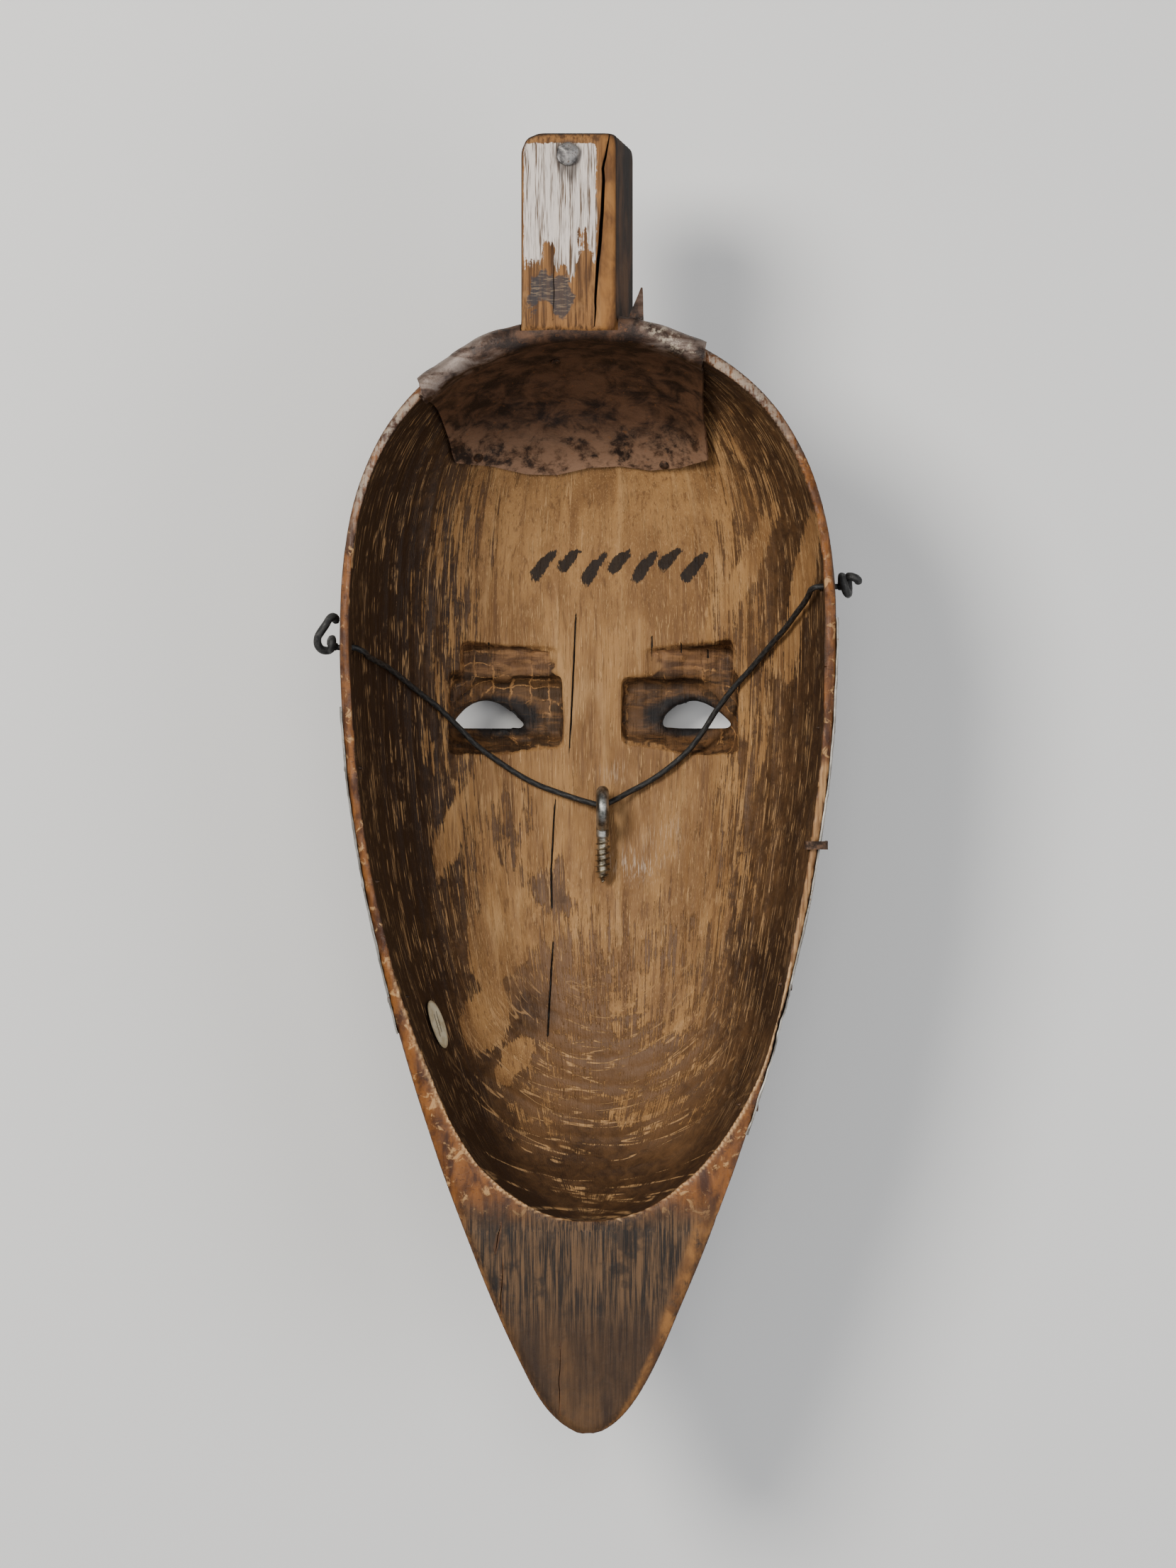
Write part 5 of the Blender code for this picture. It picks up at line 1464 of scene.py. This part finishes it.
def forged_iron_finish(name, dark, light, rust):
    finish = Finish(name, Metallic=0.7)
    hammer = finish.noise(420, 5, 0.6)
    fine = finish.noise(1800, 4, 0.65)
    base = finish.mix(hammer.rise(0.36, 0.64), dark, light)
    base = finish.mix((fine * 0.5 + hammer * 0.5).rise(0.53, 0.62) * 0.7, base, rust)
    finish.set(
        Base_Color=base,
        Roughness=0.42 + fine * 0.3,
        Normal=finish.bump(hammer + fine * 0.4, 0.00016),
    )
    return finish.material


FORGED_IRON = forged_iron_finish("forged iron", (96, 93, 92), (168, 164, 160), (92, 66, 48))
RUSTED_NAIL = forged_iron_finish("rusted nail iron", (44, 31, 23), (98, 76, 60), (122, 72, 36))
crest_flats = ((0.55, 0.15, 0.4), (0.45, 0.20, 2.5), (0.50, 0.25, 4.2), (0.35, 0.40, 5.4))
crest_nail = hammered_nail("crest_nail_head", "crest_nail", 3, crest_flats, 1.4)
add_piece("crest_nail_forged", crest_nail, FORGED_IRON, "crest_nail")
small_nails = [f"{side}_cheek_nail_{i}" for side in ("left", "right") for i in (1, 2, 3)]
small_nails += [f"sheet_nail_{i}" for i in (1, 2, 3)]
for number, node in enumerate(small_nails):
    flats = ((0.3, 0.2, 0.7 * number), (0.35, 0.3, 0.7 * number + 2.4))
    under = facing_trees.get(node.split("_")[0])
    nail = hammered_nail(f"{node}_forged", node, 10 + number, flats, under=under)
    add_piece(f"{node}_forged", nail, RUSTED_NAIL, node)

# Clip: a short strip of iron bent over the right rim and hammered flat, wider at its outer end.
CLIP_THICKNESS = 0.0008
CLIP_BEND = 0.0011


def clip_stand_off(points, normals):
    return points[:, 0] * 0 - CLIP_THICKNESS / 2


def rim_clip_mesh():
    low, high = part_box("rim_clip")
    half = CLIP_THICKNESS / 2
    left, right, top = low.x + half, high.x - half, high.z - half
    path = []
    for corner_x, turns in ((left + CLIP_BEND, (180, 90)), (right - CLIP_BEND, (90, 0))):
        for i in range(9):
            angle = math.radians(turns[0] + (turns[1] - turns[0]) * i / 8)
            height = top - CLIP_BEND + CLIP_BEND * math.sin(angle)
            path.append((corner_x + CLIP_BEND * math.cos(angle), height))
    inner = [(left, low.z + (path[0][1] - low.z) * i / 8) for i in range(8)]
    outer = [(right, path[-1][1] + (low.z - path[-1][1]) * i / 8) for i in range(1, 9)]
    path = [*inner, *path, *outer]
    middle_y, half_y = (low.y + high.y) / 2, (high.y - low.y) / 2
    rows = []
    for i, (x, z) in enumerate(path):
        flare = 0.86 + 0.14 * i / (len(path) - 1)
        ys = [middle_y + half_y * flare * (j / 6 - 1) for j in range(13)]
        rows.append([(x, y, z) for y in ys])
    return smoothed(skin_mesh("rim clip", rows, (-1, 0, 0), CLIP_THICKNESS, clip_stand_off), 45)


add_piece("rim_clip_strip", rim_clip_mesh(), RUSTED_NAIL, "rim_clip")

# Label: a small oval of yellowed paper stuck on the left wall, with a few plain pen strokes.
LABEL_Y = -0.0828
LABEL_TURN = -0.68
LABEL_LENGTH = 0.0162
LABEL_BREADTH = 0.0112
LABEL_THICKNESS = 0.0003
LABEL_RINGS = 16
LABEL_SIDES = 64
PEN_STROKES = (((-1.2, -4.0), (-0.6, 3.4)), ((1.2, -2.6), (1.8, 4.2)))


def hollow_spots(y, turn):
    angle = turn * math.pi / 2
    across = np.sign(angle) * np.abs(np.sin(angle)) ** (2 / HOLLOW_SECTION_POWER)
    x = hollow_middle(y) + hollow_half_width(y) * across
    return np.column_stack([x, y, RIM_Z - hollow_depth(y) * np.cos(angle)])


def label_mesh():
    middle_y = np.array([LABEL_Y])
    turned = LABEL_TURN + np.array([0.01])
    ends = hollow_spots(middle_y, turned) - hollow_spots(middle_y, turned - 0.01)
    per_turn = np.linalg.norm(ends) / 0.01
    shape = bmesh.new()
    flat = shape.verts.layers.float_vector.new("label_place")
    rings = []
    for i in range(1, LABEL_RINGS + 1):
        angles = np.arange(LABEL_SIDES) * 2 * math.pi / LABEL_SIDES
        along = np.cos(angles) * LABEL_LENGTH / 2 * i / LABEL_RINGS
        aside = np.sin(angles) * LABEL_BREADTH / 2 * i / LABEL_RINGS
        spots = hollow_spots(LABEL_Y + along, LABEL_TURN + aside / per_turn)
        ring = []
        for spot, one, two in zip(spots, along, aside):
            vertex = shape.verts.new(spot)
            vertex[flat] = (two * 1000, one * 1000, i / LABEL_RINGS)
            ring.append(vertex)
        rings.append(ring)
    join_rings(shape, rings, (0,))
    mesh = mesh_of("label", shape, (0, 0, 1))
    points, normals = mesh_points(mesh), mesh_normals(mesh)
    gap = SHEET_GAP + 0.00008 * soft_noise(points, 0.004, 51)
    move_points(mesh, points + normals * gap[:, None])
    mesh = apply_modifiers(mesh, [("SOLIDIFY", {"thickness": LABEL_THICKNESS, "offset": 1.0})])
    places = np.empty(len(mesh.vertices) * 3, dtype=np.float32)
    mesh.attributes["label_place"].data.foreach_get("vector", places)
    places = places.reshape(-1, 3).astype(float) / 1000
    pen, _ = line_reach(places, PEN_STROKES)
    give(mesh, "pen", np.abs(pen))
    give(mesh, "label_edge", blend(places[:, 2] * 1000, 0.86, 0.99))
    mesh.shade_smooth()
    return mesh


def paper_finish():
    finish = Finish("aged paper", Roughness=0.8)
    foxing = finish.noise(260, 4, 0.6)
    fibre = finish.noise(2600, 3, 0.7)
    base = finish.mix(foxing.rise(0.35, 0.7), (206, 195, 164), (176, 160, 124))
    base = finish.mix(finish.vertex("label_edge") * 0.6, base, (146, 126, 92))
    ink = (finish.vertex("pen") + (fibre - 0.5) * 0.3).rise(0.34, 0.20)
    finish.set(
        Base_Color=finish.mix(ink * 0.85, base, (44, 40, 44)),
        Normal=finish.bump(fibre + foxing, 0.00004),
    )
    return finish.material


add_piece("oval_label", label_mesh(), paper_finish(), "paper_label")

# Screw eye: zinc-plated steel wire bent into a closed ring, with a cut wood thread that shows brassy where
# the plating has worn. It hangs on the cord and lies in the hollow.
EYE_WIRE = 0.0044
EYE_OUTER = 0.0162
EYE_X = 0.0051
EYE_RING_Y = -0.0087
EYE_TIP_Y = -0.0350
THREAD_LENGTH = 0.0160
THREAD_OUTER = 0.0057
THREAD_CORE = 0.0038
THREAD_TURNS = 7.5
THREAD_RISE = 0.0008
THREAD_POINT = 0.0042
RING_STEPS = 96
WIRE_SIDES = 28
STEM_STEPS = 240
STEM_SIDES = 40


def eye_rest(y, radius):
    return Vector((EYE_X, y, float(hollow_z(np.array([EYE_X]), np.array([y]))[0]) + radius + 2 * FIT_GAP))


def eye_part(name, rings, closed):
    """A closed skin through rings of points; the last ring joins the first where it is closed."""
    shape = bmesh.new()
    made = [[shape.verts.new(point) for point in ring] for ring in rings]
    if closed:
        join_rings(shape, [*made, made[0]], ())
    else:
        join_rings(shape, made)
    return mesh_of(name, shape)


def screw_eye_mesh():
    middle, tip = eye_rest(EYE_RING_Y, EYE_OUTER / 2), eye_rest(EYE_TIP_Y, THREAD_OUTER / 2)
    down = (tip - middle).normalized()
    side = Vector((1, 0, 0))
    front = down.cross(side).normalized()
    length = (tip - middle).length
    ring_radius = (EYE_OUTER - EYE_WIRE) / 2
    ring = []
    for i in range(RING_STEPS):
        angle = 2 * math.pi * i / RING_STEPS
        spoke = down * math.cos(angle) + front * math.sin(angle)
        centre = middle + spoke * ring_radius
        turns = [2 * math.pi * j / WIRE_SIDES for j in range(WIRE_SIDES)]
        ring.append([centre + (side * math.cos(a) + spoke * math.sin(a)) * EYE_WIRE / 2 for a in turns])
    shank = []
    start, thread_start = ring_radius, length - THREAD_LENGTH
    pitch = THREAD_LENGTH / (THREAD_TURNS + 0.5)
    for i in range(STEM_STEPS + 1):
        place = start + (length - start) * i / STEM_STEPS
        into = place - thread_start
        taper = 1 - 0.93 * max((place - (length - THREAD_POINT)) / THREAD_POINT, 0) ** 1.3
        row = []
        for j in range(STEM_SIDES):
            angle = 2 * math.pi * j / STEM_SIDES
            radius = EYE_WIRE / 2
            if into > -THREAD_RISE:
                settle = min((into + THREAD_RISE) / THREAD_RISE, 1.0)
                wave = ((into / pitch - angle / (2 * math.pi)) % 1.0) * 2 - 1
                ridge = max(1 - abs(wave) / 0.34, 0.0) * min(max(into / pitch, 0), 1)
                thread = THREAD_CORE / 2 + (THREAD_OUTER - THREAD_CORE) / 2 * ridge
                radius = radius + (thread - radius) * settle
            radius *= taper
            row.append(middle + down * place + (side * math.cos(angle) + front * math.sin(angle)) * radius)
        shank.append(row)
    stem = placed("stem", eye_part("stem", shank, False))
    joined = [("BOOLEAN", {"operation": "UNION", "object": stem})]
    mesh = apply_modifiers(eye_part("ring", ring, True), joined)
    bpy.data.objects.remove(stem, do_unlink=True)
    points = mesh_points(mesh)
    along = (points - np.array(middle)) @ np.array(down)
    give(mesh, "threaded", blend(along, thread_start - 0.001, thread_start + 0.001))
    return smoothed(mesh, 42)


def plated_steel_finish():
    finish = Finish("plated steel", Metallic=1.0)
    cloud = finish.noise(340, 4, 0.55)
    fine = finish.noise(2600, 3, 0.7)
    zinc = finish.mix(cloud.rise(0.38, 0.64), (108, 108, 104), (186, 185, 178))
    brass = finish.mix(cloud.rise(0.35, 0.65), (108, 98, 82), (196, 186, 164))
    base = finish.mix(finish.vertex("threaded"), zinc, brass)
    base = finish.mix(fine.rise(0.62, 0.75) * 0.6, base, (72, 66, 54))
    finish.set(
        Base_Color=base,
        Roughness=0.30 + cloud * 0.28,
        Normal=finish.bump(fine + cloud, 0.00004),
    )
    return finish.material


eye = add_piece("screw_eye_turned", screw_eye_mesh(), plated_steel_finish(), "screw_eye")
